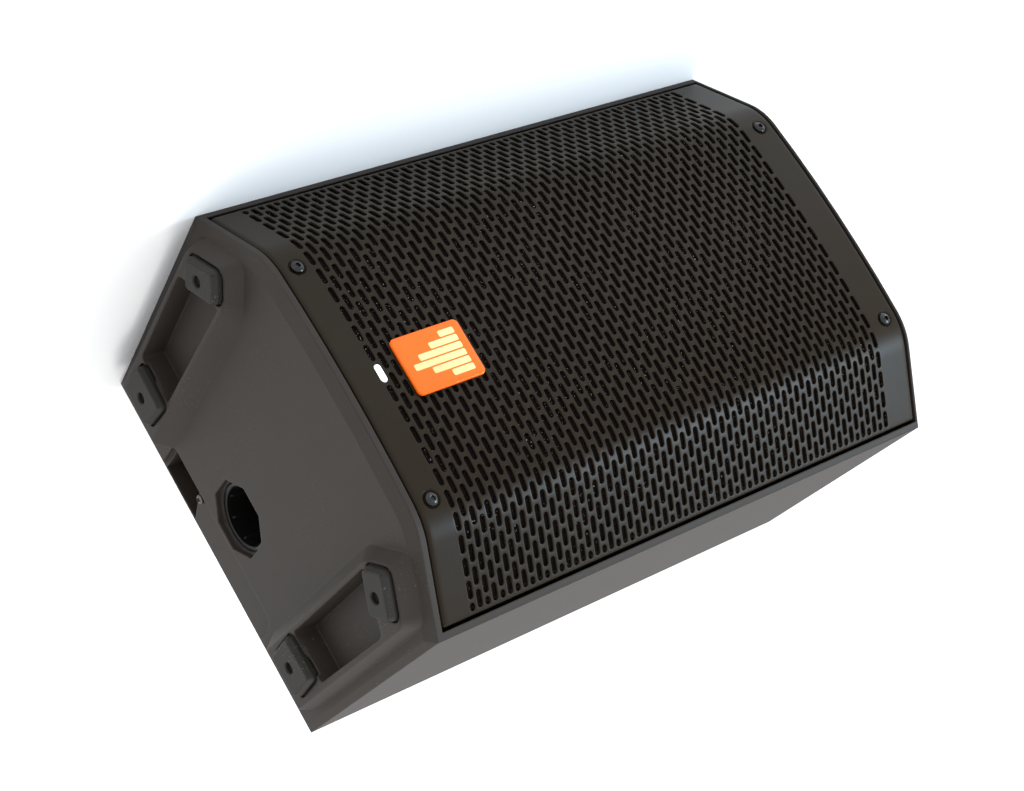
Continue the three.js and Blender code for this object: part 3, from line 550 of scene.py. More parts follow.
# colour, or its name in MonitorColours; roughness; grain scale; grain depth in mm; the rest
LOOKS = {
    "moulded_plastic": (
        "plastic", 0.58, 1500.0, 0.08,
        dict(mottle=0.05, wear=0.3, dust=0.1, softness=1.6, Specular_IOR_Level=0.27),
    ),
    "black_steel": (
        "steel", 0.33, 2600.0, 0.02,
        dict(mottle=0.06, wear=0.15, Specular_IOR_Level=0.12),
    ),
    # the cabinet's plastic made about five times darker, as painted shade for the inside of the
    # pole cup
    "cup_plastic": (
        (0.0045, 0.0042, 0.004), 0.3, 1500.0, 0.03,
        dict(mottle=0.05, Specular_IOR_Level=0.25),
    ),
    # zinc at a fifth of its brightness, as painted shade for the screw in the rear edge notch
    "dull_zinc": ((0.1, 0.098, 0.094), 0.4, 2400.0, 0.01, dict(Metallic=1.0)),
    "grille_foam": (
        (0.007, 0.0045, 0.0045), 0.95, 900.0, 0.8,
        dict(dust=0.8, Specular_IOR_Level=0.08),
    ),
    "black_rubber": (
        (0.0135, 0.0118, 0.009), 0.6, 1900.0, 0.05,
        dict(wear=0.2, dust=0.15, softness=1.0, Specular_IOR_Level=0.27),
    ),
    "black_screw": (
        (0.012, 0.012, 0.013), 0.2, 2500.0, 0.01,
        dict(wear=0.3, worn=(0.2, 0.2, 0.2), Metallic=0.4),
    ),
    "zinc_plate": ((0.5, 0.5, 0.51), 0.3, 2400.0, 0.01, dict(Metallic=1.0)),
    "badge_orange": (
        "badge", 0.3, 2500.0, 0.003,
        dict(mottle=0.04, Specular_IOR_Level=0.1, Coat_Weight=0.35, Coat_Roughness=0.04),
    ),
    "badge_emblem": (
        "emblem", 0.3, 2500.0, 0.003,
        dict(mottle=0.12, Specular_IOR_Level=0.3, Coat_Weight=0.4, Coat_Roughness=0.04),
    ),
    "light_pipe": (
        (0.9, 0.92, 1.0), 0.25, 2000.0, 0.005,
        dict(mottle=0.03, Emission_Color=(0.93, 0.96, 1.0, 1.0), Emission_Strength=0.9),
    ),
    "panel_paint": ((0.03, 0.031, 0.034), 0.5, 1700.0, 0.06, dict(wear=0.3, Metallic=0.1)),
    "black_aluminium": (
        (0.05, 0.05, 0.053), 0.42, 2200.0, 0.02,
        dict(wear=0.5, worn=(0.4, 0.4, 0.41), Metallic=0.7),
    ),
    "glossy_plastic": ((0.016, 0.016, 0.017), 0.28, 2500.0, 0.01, dict(wear=0.2)),
    "white_print": ((0.62, 0.62, 0.6), 0.5, 2500.0, 0.005, {}),
    "cone_paper": ((0.014, 0.014, 0.014), 0.85, 1100.0, 0.2, {}),
    "spider_cloth": ((0.36, 0.22, 0.07), 0.85, 1300.0, 0.3, {}),
    "ferrite": ((0.055, 0.055, 0.06), 0.6, 1200.0, 0.1, {}),
    "coil_copper": ((0.55, 0.2, 0.07), 0.35, 2500.0, 0.02, dict(Metallic=0.9)),
    "circuit_board": ((0.01, 0.09, 0.035), 0.4, 1800.0, 0.02, {}),
    "lead_jacket": ((0.33, 0.02, 0.014), 0.45, 1900.0, 0.02, {}),
}


# ---------- cabinet and lower end ----------


class MONITOR_OT_cabinet(bpy.types.Operator):
    """Round the moulded cabinet's edges and give it its grained skin"""

    bl_idname = "monitor.cabinet"
    bl_label = "Cabinet"

    def execute(self, context):
        piece = rounded_copy("cabinet", "cabinet_shell", sizes_mm("edge"), 2, clamp=True)
        place(piece, "moulded_plastic", ["cabinet"])
        return {"FINISHED"}


FEET = range(1, 5)


def socket_head(radius, height, recess, wall=0.55):
    """Profile of a domed head with a hexagon recess; the third value is the hexagon's share."""
    dome = [(radius * math.cos(a), height * (0.35 + 0.65 * math.sin(a)) if a else height * 0.3)
            for a in np.radians([0, 15, 35, 52, 66])]
    return [
        (0, 0), (radius * 0.96, 0), *dome,
        (radius * wall, height * 0.99, 1), (radius * (wall - 0.05), height * 0.93, 1),
        (radius * (wall - 0.05), height - recess, 1), (radius * 0.2, height - recess - 0.25, 1),
        (0, height - recess - 0.3),
    ]


def hexagon(angle):
    """A hexagon's radius over its corner radius: cos 30 / cos of the angle from a flat's middle."""
    return math.cos(math.pi / 6) / np.cos(np.mod(angle, math.pi / 3) - math.pi / 6)


HEAD_SIDES = 36


def screw_head(name, size, at, out, look, node):
    """Places a turned screw head of (radius, height, recess) over a CAD screw."""
    head = turned_piece(name, socket_head(*size), HEAD_SIDES, at, out, hexagon)
    place(head, look, [node])


DOWN = (0, 0, -1)
FOOT_SCREW_LEVEL = -13.6
EDGE_SCREW_LEVEL = 0.9


class MONITOR_OT_feet(bpy.types.Operator):
    """Make the four rubber feet and the screws sunk in them"""

    bl_idname = "monitor.feet"
    bl_label = "Feet"

    def execute(self, context):
        for k in FEET:
            foot = rounded_copy(f"foot_{k}", f"rubber_foot_{k}", 0.8, 3)
            place(foot, "black_rubber", [f"foot_{k}"])
            node = f"foot_screw_{k}"
            at = middle_of(node)
            at[2] = FOOT_SCREW_LEVEL
            size = (3.1, 1.5, 0.9)
            screw_head(f"foot_screw_head_{k}", size, at, DOWN, "black_screw", node)
        return {"FINISHED"}


class MONITOR_OT_pole_socket(bpy.types.Operator):
    """Make the ribbed cup that takes a speaker pole"""

    bl_idname = "monitor.pole_socket"
    bl_label = "Pole socket"

    RADIUS = 18.8
    DEPTH = 87.0
    RIBS = 8

    def execute(self, context):
        def ribbed(angle):
            """1 on the bore, smoothly 5% less over each narrow rib."""
            turn = np.cos(angle * self.RIBS - math.pi)
            return 1 - 0.05 * np.clip((turn - 0.93) / 0.05, 0, 1)

        r, depth = self.RADIUS, self.DEPTH
        wall = [
            (0, depth), (r - 1, depth, 1), (r, depth - 1, 1), (r, 6, 1), (r, 4.6), (r, 2.5),
            (r + 0.7, 1.8), (r + 2.2, 1.8), (r + 2.9, 2.5), (r + 2.9, 4.3), (r + 11, 4.3),
            (r + 11, 7), (r + 2.9, 7), (r + 2.9, depth + 3), (0, depth + 3),
        ]
        at = middle_of("pole_socket")
        at[2] = 0
        cup = turned_piece("pole_cup", wall, 192, at, (0, 0, 1), ribbed)
        # the cup takes a darkened plastic that paints the shade in its bore
        place(cup, "cup_plastic", ["pole_socket"])
        return {"FINISHED"}


class MONITOR_OT_rear_edge_screw(bpy.types.Operator):
    """Make the small screw in the notch of the rear edge, its zinc darkened as painted shade"""

    bl_idname = "monitor.rear_edge_screw"
    bl_label = "Rear edge screw"

    def execute(self, context):
        at = middle_of("rear_edge_screw")
        at[2] = EDGE_SCREW_LEVEL
        size = (3.0, 2.1, 1.2)
        # the screw takes a darkened zinc that paints the shade of the notch
        screw_head("edge_screw", size, at, DOWN, "dull_zinc", "rear_edge_screw")
        return {"FINISHED"}


# ---------- grille ----------

FIRST_COLUMN = 26.5  # height of the first column of slots
GRILLE_END = 5.2
END_ROLL = 2.6  # radius of the rolled edge at each end
SIDE_ROLL = 1.6
FLANGE = 7.0
SCREW_X = 75.3
SCREW_Z = 16.1
# radius and depth
DIMPLE = [(6.1, 0.0), (5.7, 0.12), (5.3, 0.5), (4.9, 1.0), (4.5, 1.35), (4.0, 1.5), (2.6, 1.5)]
SLOTS_HALF = 11  # slot pitches from the middle to the side edge
INWARD = (0.0, 0.0, 1.0, 0.0)  # into the sheet, as a step in (s, z, depth, drop)


def slot_ring(length, width):
    """Sixteen points round a slot: its ends in 30 degree steps and the middle of each side."""
    radius = width / 2
    straight = length / 2 - radius
    end = np.radians([0, 30, 60, 90])
    quarter = np.stack([straight + radius * np.cos(end), radius * np.sin(end)], 1)
    half = np.vstack([quarter, [(0, radius)], quarter[::-1] * (-1, 1)])
    return np.vstack([half, half[1:-1][::-1] * (1, -1)])


def cell_ring(pitch, column):
    """Sixteen points round a slot's cell, matched to slot_ring: seven on each long side."""
    side = np.linspace(pitch / 2, -pitch / 2, 7)
    edge = np.stack([side, np.full(7, column / 2)], 1)
    half = np.vstack([[(pitch / 2, 0)], edge, [(-pitch / 2, 0)]])
    return np.vstack([half, half[1:-1][::-1] * (1, -1)])


def half_cell_ring(pitch, column):
    """Ten points round half a cell: four on each long side and the middle of each short side."""
    side = np.linspace(pitch / 4, -pitch / 4, 4)
    edge = np.stack([side, np.full(4, column / 2)], 1)
    half = np.vstack([[(pitch / 4, 0)], edge, [(-pitch / 4, 0)]])
    return np.vstack([half, half[1:-1][::-1] * (1, -1)])


def short_slot_ring(length, width):
    """Ten points round a short slot, matched to half_cell_ring."""
    radius = width / 2
    straight = length / 2 - radius
    turn = math.radians(50)
    corner = (straight + radius * math.cos(turn), radius * math.sin(turn))
    quarter = np.array([(length / 2, 0), corner, (straight * 0.6, radius)])
    half = np.vstack([quarter, quarter[::-1] * (-1, 1)])
    return np.vstack([half, half[1:-1][::-1] * (1, -1)])


def slot_cells(centres, cell, slot, length, width):
    """Cells round slots: flat, then a rounded lip down to the slot, the same at every centre."""
    lip = sizes_mm("lip")
    rings = [cell, *(slot(length + 2 * edge, width + 2 * edge) for edge in (lip, lip * 0.3, 0))]
    depths = [0, 0, lip * 0.3, lip]
    size = len(cell)

    def level(points, depth):
        return np.column_stack([points, np.full(size, depth), np.zeros(size)])

    outer = np.vstack([level(ring, depth) for ring, depth in zip(rings, depths)])
    under = np.vstack([level(rings[k], sizes_mm("sheet")) for k in (0, 3, 3, 3)])
    at = np.column_stack([centres, np.zeros((len(centres), 2))])[:, None]
    first = np.arange(len(centres))[:, None, None] * 4 * size
    faces = grid_faces(4, size, around=True)[None] + first
    return (at + outer).reshape(-1, 4), (at + under).reshape(-1, 4), faces.reshape(-1, 4)


def sheet_grid(across, along):
    """A grid of sheet points and the points under them, from lists of positions across and along.

    A position is (place, depth, drop) and its step into the sheet (place, depth).
    """
    a = np.array(across, float)[None]
    b = np.array(along, float)[:, None]
    a, b = np.broadcast_arrays(a, b)
    outer = np.stack([a[..., 0], b[..., 0], a[..., 1] + b[..., 1], a[..., 2]], -1)
    step = np.stack([a[..., 3], b[..., 3], a[..., 4] * b[..., 4], 0 * a[..., 0]], -1)
    under = outer + step * sizes_mm("sheet")
    return outer.reshape(-1, 4), under.reshape(-1, 4), grid_faces(len(along), len(across))


def flat(values):
    """Positions on the flat of the sheet."""
    return [(value, 0.0, 0.0, 0.0, 1.0) for value in values]


def rolled(edge, radius, toward, flange, to_rear):
    """Positions over a rolled edge: edge + r sin a along, r (1 - cos a) down, then the flange."""
    turn = np.radians([18, 36, 54, 72, 90])
    roll = [(edge + toward * radius * math.sin(a), radius * (1 - math.cos(a)), 0.0,
             -toward * math.sin(a), math.cos(a)) for a in turn]
    end = edge + toward * radius
    return roll + [
        (end, radius + (0 if to_rear else step), step if to_rear else 0.0, -toward, 0.0)
        for step in (flange / 2, flange)
    ]


def dimple(square_middle, middle, step):
    """A dished ring in a square patch of the sheet: the square's edge, then circles going down."""
    side = np.arange(-3, 3) * step
    edge = np.full(6, 3 * step)
    square = np.vstack([
        np.stack([edge, side], 1), np.stack([-side, edge], 1),
        np.stack([-edge, -side], 1), np.stack([side, -edge], 1),
    ]) + square_middle
    angle = np.radians(np.arange(24) * 15 - 45)
    rings = [np.column_stack([square, np.zeros((24, 2))])]
    for radius, depth in DIMPLE:
        circle = np.stack([np.cos(angle), np.sin(angle)], 1) * radius + middle
        rings.append(np.column_stack([circle, np.full(24, depth), np.zeros(24)]))
    outer = np.vstack(rings)
    under = outer + np.array(INWARD) * sizes_mm("sheet")
    return outer, under, grid_faces(len(rings), 24, around=True)


def slot_centres(count, column, pitch):
    """Middles of the slots in a brick bond: every other column moved by half a pitch."""
    heights = FIRST_COLUMN + np.arange(count) * column
    even = np.arange(-SLOTS_HALF + 1, SLOTS_HALF) * pitch
    odd = (np.arange(-SLOTS_HALF, SLOTS_HALF) + 0.5) * pitch
    rows = [(odd if k % 2 else even, z) for k, z in enumerate(heights)]
    return np.vstack([np.column_stack([row, np.full(len(row), z)]) for row, z in rows]), heights


def grille_sheet():
    """The grille's face and underside as points (s, z, depth, drop), with the face's quads.

    Cells with a slot fill the field; plain strips with dimples close both ends, and every edge
    is rolled over into a flange.
    """
    pitch, column, count = sizes_mm("slot_pitch"), sizes_mm("column_pitch"), sizes().columns
    step = pitch / 6
    half = SLOTS_HALF * pitch
    field_low = FIRST_COLUMN - column / 2
    centres, heights = slot_centres(count, column, pitch)
    at_light = (np.abs(centres[:, 0]) < 1) & (np.abs(centres[:, 1] - FIRST_COLUMN) < 1)
    cell = cell_ring(pitch, column)
    short = np.array([(side * (half - 1.5 * step), z) for z in heights[::2] for side in (-1, 1)])
    width = sizes_mm("slot_width")
    parts = [
        slot_cells(centres[~at_light], cell, slot_ring, sizes_mm("slot_length"), width),
        slot_cells(centres[at_light], cell, slot_ring, 11.8, 4.7),
        slot_cells(short, half_cell_ring(pitch, column), short_slot_ring, 4.9, width),
    ]

    low_edge, high_edge = GRILLE_END + END_ROLL, HEIGHT - GRILLE_END - END_ROLL
    low_roll = rolled(low_edge, END_ROLL, -1, FLANGE, False)[::-1]
    high_roll = rolled(high_edge, END_ROLL, 1, FLANGE, False)
    square = np.arange(-3, 4) * step
    low_rows = flat([low_edge, *(SCREW_Z + square), field_low])
    field_high = field_low + count * column
    high_screw = HEIGHT - SCREW_Z
    between = (field_high + high_screw) / 2 - 1.5 * step
    high_rows = flat([field_high, between, *(high_screw + square), high_edge])
    across = flat(np.arange(-SLOTS_HALF * 6, SLOTS_HALF * 6 + 1) * step)
    screw_s = round(arc_at(SCREW_X) / step) * step
    for rows, screw_z in ((low_rows, SCREW_Z), (high_rows, high_screw)):
        outer, under, faces = sheet_grid(across, rows)
        middle = np.abs(outer[faces].mean(1)[:, :2] - (0, screw_z))
        inside = (np.abs(middle[:, 0] - screw_s) < 3 * step) & (middle[:, 1] < 3 * step)
        parts.append((outer, under, faces[~inside]))
        parts += [
            dimple((side * screw_s, screw_z), (side * arc_at(SCREW_X), screw_z), step)
            for side in (-1, 1)
        ]
    parts.append(sheet_grid(across, low_roll + low_rows[:1]))
    parts.append(sheet_grid(across, high_rows[-1:] + high_roll))
    field_rows = flat(np.arange(1, 2 * count) * column / 2 + field_low)
    rows = low_roll + low_rows + field_rows + high_rows + high_roll
    left = rolled(-half, SIDE_ROLL, -1, FLANGE, True)[::-1] + flat([-half])
    right = flat([half]) + rolled(half, SIDE_ROLL, 1, FLANGE, True)
    parts += [sheet_grid(left, rows), sheet_grid(right, rows)]
    starts = np.cumsum([0] + [len(outer) for outer, _, _ in parts[:-1]])
    outer, under = (np.vstack([part[k] for part in parts]) for k in (0, 1))
    return outer, under, np.vstack([faces + start for (_, _, faces), start in zip(parts, starts)])


def closed_sheet(outer, under, faces):
    """Points and quads of a sheet: its face, its underside, and a wall along every open edge."""
    _, first, merged = np.unique(np.round(outer, 3), axis=0, return_index=True, return_inverse=True)
    faces = merged.reshape(-1)[faces]
    count = len(first)
    edges = np.stack([faces, np.roll(faces, -1, axis=1)], -1).reshape(-1, 2)
    forward = edges[:, 0] * count + edges[:, 1]
    backward = edges[:, 1] * count + edges[:, 0]
    rim = edges[~np.isin(forward, backward)]
    walls = np.stack([rim[:, 1], rim[:, 0], rim[:, 0] + count, rim[:, 1] + count], 1)
    points = np.vstack([outer[first], under[first]])
    return points, np.vstack([faces, faces[:, ::-1] + count, walls])


class MONITOR_OT_grille(bpy.types.Operator):
    """Form the slotted steel grille over the crowned front"""

    bl_idname = "monitor.grille"
    bl_label = "Grille"

    def execute(self, context):
        sheet, faces = closed_sheet(*grille_sheet())
        points = front_points(sheet[:, 0], sheet[:, 1], sheet[:, 2], sheet[:, 3])
        piece = new_piece("slotted_grille", points, faces, sharp=50)
        weighted = piece.modifiers.new("even_shading", "WEIGHTED_NORMAL")
        weighted.keep_sharp = True
        place(piece, "black_steel", ["grille"])
        return {"FINISHED"}


class MONITOR_OT_foam(bpy.types.Operator):
    """Lay the foam sheet behind the grille: its face rises and falls by crossed sine waves"""

    bl_idname = "monitor.foam"
    bl_label = "Foam"

    DEPTH = 2.2
    THICKNESS = 3.0

    def execute(self, context):
        half, low, high = 141.0, 9.0, HEIGHT - 9.0
        s = np.linspace(-half, half, 150)[None]
        z = np.linspace(low, high, 200)[:, None]
        bumps = 0.35 * np.sin(s * 1.9 + 0.7 * np.sin(z * 0.9))
        bumps = bumps * np.sin(z * 1.7 + 0.8 * np.sin(s * 1.1))
        s_all, z_all = np.broadcast_arrays(s, z)
        flat_sheet = np.zeros(s_all.shape)
        outer = np.stack([s_all, z_all, self.DEPTH - bumps * 0.6, flat_sheet], -1).reshape(-1, 4)
        under = np.stack([s_all, z_all, flat_sheet + self.DEPTH + self.THICKNESS, flat_sheet], -1)
        sheet, faces = closed_sheet(outer, under.reshape(-1, 4), grid_faces(*s_all.shape))
        points = front_points(sheet[:, 0], sheet[:, 1], sheet[:, 2])
        piece = new_piece("foam_sheet", points, faces, sharp=60)
        place(piece, "grille_foam", ["grille_foam"])
        return {"FINISHED"}


class MONITOR_OT_grille_screws(bpy.types.Operator):
    """Make the four domed screws that hold the grille in its dimples"""

    bl_idname = "monitor.grille_screws"
    bl_label = "Grille screws"

    def execute(self, context):
        places = [(side, z) for side in (1, -1) for z in (SCREW_Z, HEIGHT - SCREW_Z)]
        for k, (side, z) in enumerate(places, 1):
            s = side * arc_at(SCREW_X)
            point, normal = front_frame(np.array(s))
            at = np.append(point - normal * 1.1, z)
            head = turned_piece(
                f"domed_screw_{k}", socket_head(3.9, 2.7, 1.5), 48, at, (*normal, 0), hexagon
            )
            place(head, "black_screw", [f"grille_screw_{k}"])
        return {"FINISHED"}


# ---------- badge and light ----------

BADGE_X, BADGE_Z = -2.5, 63.8
BADGE_WIDTH, BADGE_HEIGHT = 36.4, 47.4
BADGE_BACK = FACET_RISE + CROWN + 0.3


class MONITOR_OT_badge(bpy.types.Operator):
    """Make the domed badge and its emblem of level bars"""

    bl_idname = "monitor.badge"
    bl_label = "Badge"

    BARS = (0.42, 0.72, 1.0, 0.84, 0.56, 0.3)

    def execute(self, context):
        def plate(gap):
            radius = max(3.2 - gap * 0.8, 0.8)
            return rounded_rectangle(BADGE_WIDTH - 2 * gap, BADGE_HEIGHT - 2 * gap, radius)

        levels = [
            (0, 0), (0, 1.1), (0.12, 1.45), (0.45, 1.75),
            (1.0, 1.9), (2.2, 2.0), (6.0, 2.05), (12, 2.05),
        ]
        at = (BADGE_X, BADGE_BACK, BADGE_Z)
        body = pillow_piece("badge_plate", plate, levels, at, (0, 1, 0))
        place(body, "badge_orange", ["badge"])
        self.emblem()
        return {"FINISHED"}

    def emblem(self):
        """Upright bars of different lengths, side by side, each a low pillow."""
        width, gap, tallest = 3.9, 0.9, 36.0
        first = BADGE_X - (len(self.BARS) - 1) / 2 * (width + gap)
        points, faces = [], []
        for k, share in enumerate(self.BARS):
            length = tallest * share

            def bar(inset, length=length):
                radius = max(0.9 - inset, 0.3)
                return rounded_rectangle(width - 2 * inset, length - 2 * inset, radius, 3)

            rings = pillow(bar, [(0, 0), (0, 0.12), (0.15, 0.17)])
            at = (first + k * (width + gap), BADGE_BACK + 2.02, BADGE_Z + (tallest - length) / 2)
            rows, sides = rings.shape[:2]
            faces.append(grid_faces(rows, sides, around=True) + k * rows * sides)
            points.append(stand(rings, at, (0, 1, 0)).reshape(-1, 3))
        piece = new_piece("badge_bars", np.vstack(points), np.vstack(faces), 40)
        place(piece, "badge_emblem")


class MONITOR_OT_light(bpy.types.Operator):
    """Make the light pipe of the power light"""

    bl_idname = "monitor.light"
    bl_label = "Power light"

    def execute(self, context):
        def pill(gap):
            return rounded_rectangle(11.4 - 2 * gap, 4.3 - 2 * gap, 2.14 - gap, 8)

        levels = [(0, 0), (0, 5.2), (0.15, 5.6), (0.5, 5.9), (1.1, 6.0)]
        at = (0, FACET_RISE + CROWN - 6.0, FIRST_COLUMN)
        piece = pillow_piece("light_lens", pill, levels, at, (0, 1, 0))
        place(piece, "light_pipe", ["power_light"])
        return {"FINISHED"}


# ---------- rear panel ----------

REAR = (0, -1, 0)
PANEL_FACE = -165.0  # the controls' seats stand on the panel here


class MONITOR_OT_rear_panel(bpy.types.Operator):
    """Finish the rear panel, its screws, heatsink and printed scale marks"""

    bl_idname = "monitor.rear_panel"
    bl_label = "Rear panel"

    def execute(self, context):
        panel = rounded_copy("rear_panel", "panel_plate", 0.3, clamp=True)
        place(panel, "panel_paint", ["rear_panel"])
        fins = rounded_copy("heatsink", "heatsink_fins", 0.3, clamp=True)
        place(fins, "black_aluminium", ["heatsink"])
        for k in range(1, 5):
            node = f"panel_screw_{k}"
            at = middle_of(node)
            at[1] = PANEL_FACE
            size = (3.2, 2.0, 1.2)
            screw_head(f"panel_screw_head_{k}", size, at, REAR, "black_screw", node)
        self.scale_marks()
        return {"FINISHED"}

    def scale_marks(self):
        """Ticks in an arc of 300 degrees round each knob, each a thin raised stroke."""
        stroke = rounded_rectangle(0.45, 1.9, 0.2, 2)
        ticks = np.radians(np.linspace(-150, 150, 11))
        points, faces = [], []
        ring = np.column_stack([stroke, np.zeros(len(stroke))])
        rise = (0, 0, 0.08)
        middle = ring.mean(0) + 0 * ring
        shape = np.stack([middle, ring, ring + rise, middle + rise])
        for knob in range(1, 5):
            axis = middle_of(f"knob_{knob}")
            for tick in ticks:
                along, aside = math.cos(tick), math.sin(tick)
                turn = np.array([[along, aside, 0], [-aside, along, 0], [0, 0, 1]])
                local = (shape + (0, 10.6, 0)) @ turn
                first = len(points) * 4 * len(stroke)
                faces.append(grid_faces(4, len(stroke), around=True) + first)
                at = (axis[0], PANEL_FACE + 0.3, axis[2])
                points.append(stand(local, at, REAR).reshape(-1, 3))
        marks = new_piece("scale_marks", np.vstack(points), np.vstack(faces), 40)
        place(marks, "white_print", slot="panel_paint")


class MONITOR_OT_knobs(bpy.types.Operator):
    """Make the four fluted knobs, each with its pointer line"""

    bl_idname = "monitor.knobs"
    bl_label = "Knobs"

    def execute(self, context):
        def fluted(angle):
            """1 with eighteen shallow flutes cut by 9 hundredths."""
            return 1 - 0.09 * (0.5 - 0.5 * np.cos(angle * 18)) ** 2

        profile = [
            (0, -6), (3, -6), (3, 0), (8.0, 0), (8.2, 0.3), (8.2, 2.2), (7.9, 2.5), (6.8, 2.7),
            (6.7, 3.2, 1), (6.4, 8.8, 1), (6.1, 9.5, 1), (5.4, 10.1), (4.6, 10.4),
            (4.2, 10.1), (0, 10.0),
        ]
        for k in range(1, 5):
            at = middle_of(f"knob_{k}")
            at[1] = PANEL_FACE
            knob = turned_piece(f"fluted_knob_{k}", profile, 144, at, REAR, fluted, 32)
            place(knob, "glossy_plastic", [f"knob_{k}"], body=f"knob_{k}")
            line = rounded_rectangle(0.9, 4.6, 0.4, 3)

            def stroke(gap, line=line):
                return line * (1 - gap)

            start = (at[0], PANEL_FACE - 10.0, at[2] + 4.2)
            levels = [(0, -0.3), (0, 0.5), (0.1, 0.6)]
            mark = pillow_piece(f"knob_line_{k}", stroke, levels, start, REAR)
            place(mark, "white_print", body=f"knob_{k}", slot="glossy_plastic")
        return {"FINISHED"}


ROUNDED = [
    # node, name, rounding in mm, finish, body
    ("input_socket_1", "socket_body_1", 0.4, "glossy_plastic", "housing"),
    ("input_socket_2", "socket_body_2", 0.4, "glossy_plastic", "housing"),
    ("socket_latch_1", "latch_tab_1", 0.4, "zinc_plate", "latch_1"),
    ("socket_latch_2", "latch_tab_2", 0.4, "zinc_plate", "latch_2"),
    ("push_button_1", "button_cap_1", 0.3, "glossy_plastic", "button_1"),
    ("push_button_2", "button_cap_2", 0.3, "glossy_plastic", "button_2"),
    ("switch_frame", "switch_bezel", 0.4, "glossy_plastic", "housing"),
    ("power_rocker", "rocker_key", 0.5, "glossy_plastic", "rocker"),
    ("mains_inlet", "inlet_body", 0.4, "glossy_plastic", "housing"),
    ("carry_handle", "handle_grip", 1.2, "black_rubber", "housing"),
]


class MONITOR_OT_controls(bpy.types.Operator):
    """Round and finish the sockets, latches, buttons, switch, inlet and handle"""

    bl_idname = "monitor.controls"
    bl_label = "Controls and handle"

    def execute(self, context):
        for node, name, rounding, look, body in ROUNDED:
            place(rounded_copy(node, name, rounding, 3), look, [node], body)
        return {"FINISHED"}


# ---------- inner pieces ----------

INNER = {
    "moulded_plastic": ["front_baffle", "horn", "port_tube_1", "port_tube_2"],
    "black_steel": ["woofer_basket", "horn_driver"],
    "zinc_plate": ["woofer_top_plate", "woofer_yoke"],
    "ferrite": ["woofer_magnet"],
    "coil_copper": ["voice_coil"],
    "cone_paper": ["woofer_cone", "dust_cap"],
    "black_rubber": ["woofer_surround"],
    "spider_cloth": ["woofer_spider"],
    "black_screw": [f"woofer_screw_{k}" for k in range(1, 5)],
    "circuit_board": ["amplifier_board"],
    "lead_jacket": ["woofer_lead", "horn_lead"],
}


class MONITOR_OT_inner(bpy.types.Operator):
    """Finish the pieces inside the cabinet"""

    bl_idname = "monitor.inner"
    bl_label = "Inner pieces"

    def execute(self, context):
        for look, nodes in INNER.items():
            for node in nodes:
                materials = frame["nodes"][node].data.materials
                materials.clear()
                materials.append(finish(look))
        return {"FINISHED"}


# ---------- stage ----------

CAMERA_AT = (-325.4, 966.5, -614.0)  # cabinet millimetres
CAMERA_AIM = (0.2397, -0.7700, 0.5913)
CAMERA_UP = (0.8336, 0.4754, 0.2812)
LENS = 75.9
SENSOR = 36.0
SKY_COLOUR = (0.96, 0.98, 1.0, 1)
SKY_STRENGTH = 1.3
LAMP_TARGET = (0, 0, 0.14)  # metres
LAMPS = [  # name, place in metres, size in metres, watts, colour
    ("window", (-1.05, -0.85, 1.15), 0.5, 20.0, (0.66, 0.84, 1.0)),
    ("overhead", (0.3, 0.5, 1.9), 1.2, 14.0, (1.0, 0.97, 0.93)),
]


def stage_material(name, colour, roughness):
    material = bpy.data.materials.new(name)
    material.use_nodes = True
    base = material.node_tree.nodes["Principled BSDF"]
    base.inputs["Base Color"].default_value = (*colour, 1)
    base.inputs["Roughness"].default_value = roughness
    return material


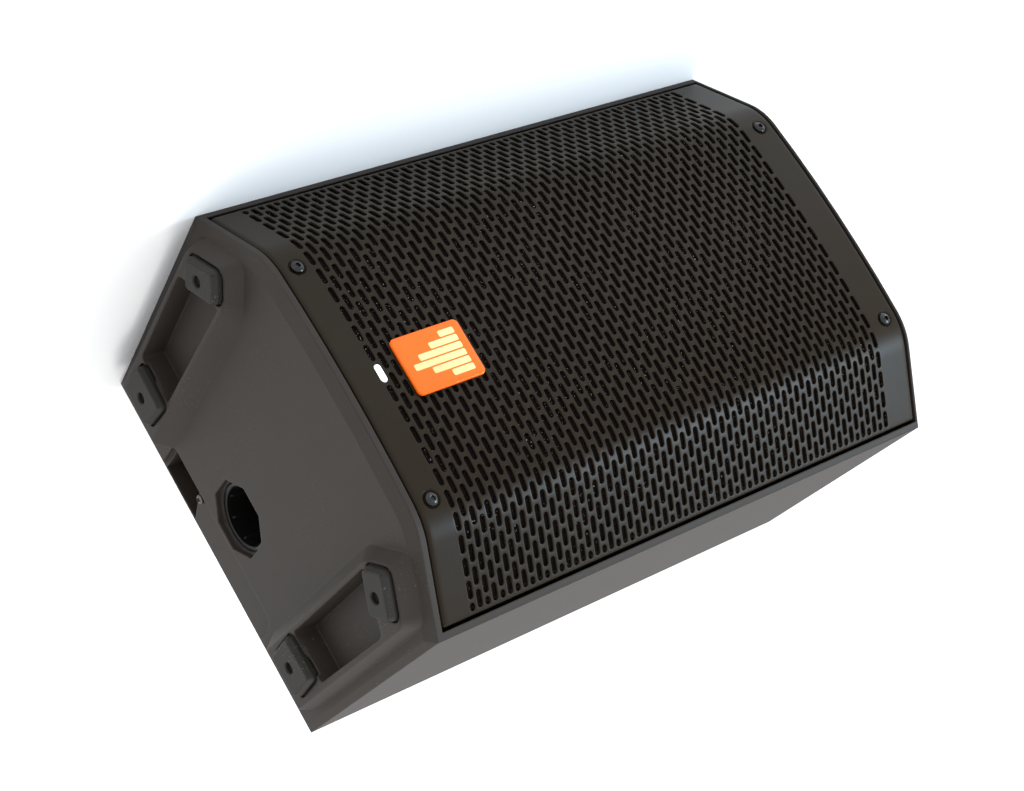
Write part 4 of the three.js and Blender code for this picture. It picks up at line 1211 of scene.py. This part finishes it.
class MONITOR_OT_stage(bpy.types.Operator):
    """Set the pale floor, the soft lights and the camera"""

    bl_idname = "monitor.stage"
    bl_label = "Stage"

    FLOOR_HALF = 40.0

    def execute(self, context):
        self.floor()
        self.lights()
        self.camera()
        return {"FINISHED"}

    def floor(self):
        half = self.FLOOR_HALF
        mesh = bpy.data.meshes.new("floor")
        corners = [(-half, -half, 0), (half, -half, 0), (half, half, 0), (-half, half, 0)]
        mesh.from_pydata(corners, [], [(0, 1, 2, 3)])
        floor = bpy.data.objects.new("floor", mesh)
        bpy.context.scene.collection.objects.link(floor)
        mesh.materials.append(stage_material("floor_paint", (0.93, 0.93, 0.93), 0.9))

    def lights(self):
        scene = bpy.context.scene
        scene.view_settings.view_transform = "Standard"
        world = bpy.data.worlds.new("studio")
        scene.world = world
        world.use_nodes = True
        sky = world.node_tree.nodes["Background"].inputs
        sky["Color"].default_value = SKY_COLOUR
        sky["Strength"].default_value = SKY_STRENGTH
        for name, at, size, power, colour in LAMPS:
            lamp = bpy.data.lights.new(name, "AREA")
            lamp.energy = power
            lamp.size = size
            lamp.color = colour
            holder = bpy.data.objects.new(name, lamp)
            scene.collection.objects.link(holder)
            holder.location = at
            aim = Vector(LAMP_TARGET) - Vector(at)
            holder.rotation_euler = aim.to_track_quat("-Z", "Y").to_euler()

    def camera(self):
        """A camera whose axes are the given directions, turned into the row's frame."""
        lens = bpy.data.cameras.new("camera")
        lens.lens = LENS
        lens.sensor_width = SENSOR
        lens.clip_end = 200.0
        holder = bpy.data.objects.new("camera", lens)
        scene = bpy.context.scene
        scene.collection.objects.link(holder)
        aim = Vector(np.array(CAMERA_AIM) @ AXES).normalized()
        up = Vector(np.array(CAMERA_UP) @ AXES)
        up = (up - aim * up.dot(aim)).normalized()
        turn = Matrix((aim.cross(up), up, -aim)).transposed().to_4x4()
        holder.matrix_world = Matrix.Translation(to_row(CAMERA_AT)) @ turn
        scene.camera = holder


# ---------- panel and registration ----------

OPERATORS = [
    MONITOR_OT_stage,
    MONITOR_OT_cabinet,
    MONITOR_OT_feet,
    MONITOR_OT_pole_socket,
    MONITOR_OT_rear_edge_screw,
    MONITOR_OT_grille,
    MONITOR_OT_foam,
    MONITOR_OT_grille_screws,
    MONITOR_OT_badge,
    MONITOR_OT_light,
    MONITOR_OT_rear_panel,
    MONITOR_OT_knobs,
    MONITOR_OT_controls,
    MONITOR_OT_inner,
]


class MONITOR_PT_panel(bpy.types.Panel):
    """Lists the sizes, the colours and one button for each piece"""

    bl_label = "Stage monitor"
    bl_idname = "MONITOR_PT_panel"
    bl_space_type = "VIEW_3D"
    bl_region_type = "UI"
    bl_category = "Monitor"

    def draw(self, context):
        for group in (context.scene.monitor_sizes, context.scene.monitor_colours):
            box = self.layout.box()
            for name in group.__annotations__:
                box.prop(group, name)
        for operator in OPERATORS:
            self.layout.operator(operator.bl_idname)


GROUP_CLASSES = [MonitorSizes, MonitorColours]


def register():
    for cls in [*GROUP_CLASSES, *OPERATORS, MONITOR_PT_panel]:
        bpy.utils.register_class(cls)
    bpy.types.Scene.monitor_sizes = PointerProperty(type=MonitorSizes)
    bpy.types.Scene.monitor_colours = PointerProperty(type=MonitorColours)


def unregister():
    del bpy.types.Scene.monitor_colours
    del bpy.types.Scene.monitor_sizes
    for cls in [MONITOR_PT_panel, *reversed(OPERATORS), *reversed(GROUP_CLASSES)]:
        bpy.utils.unregister_class(cls)


def main():
    register()
    for operator in OPERATORS:
        name = operator.bl_idname.split(".")[1]
        getattr(bpy.ops.monitor, name)()


if __name__ == "__main__":
    main()
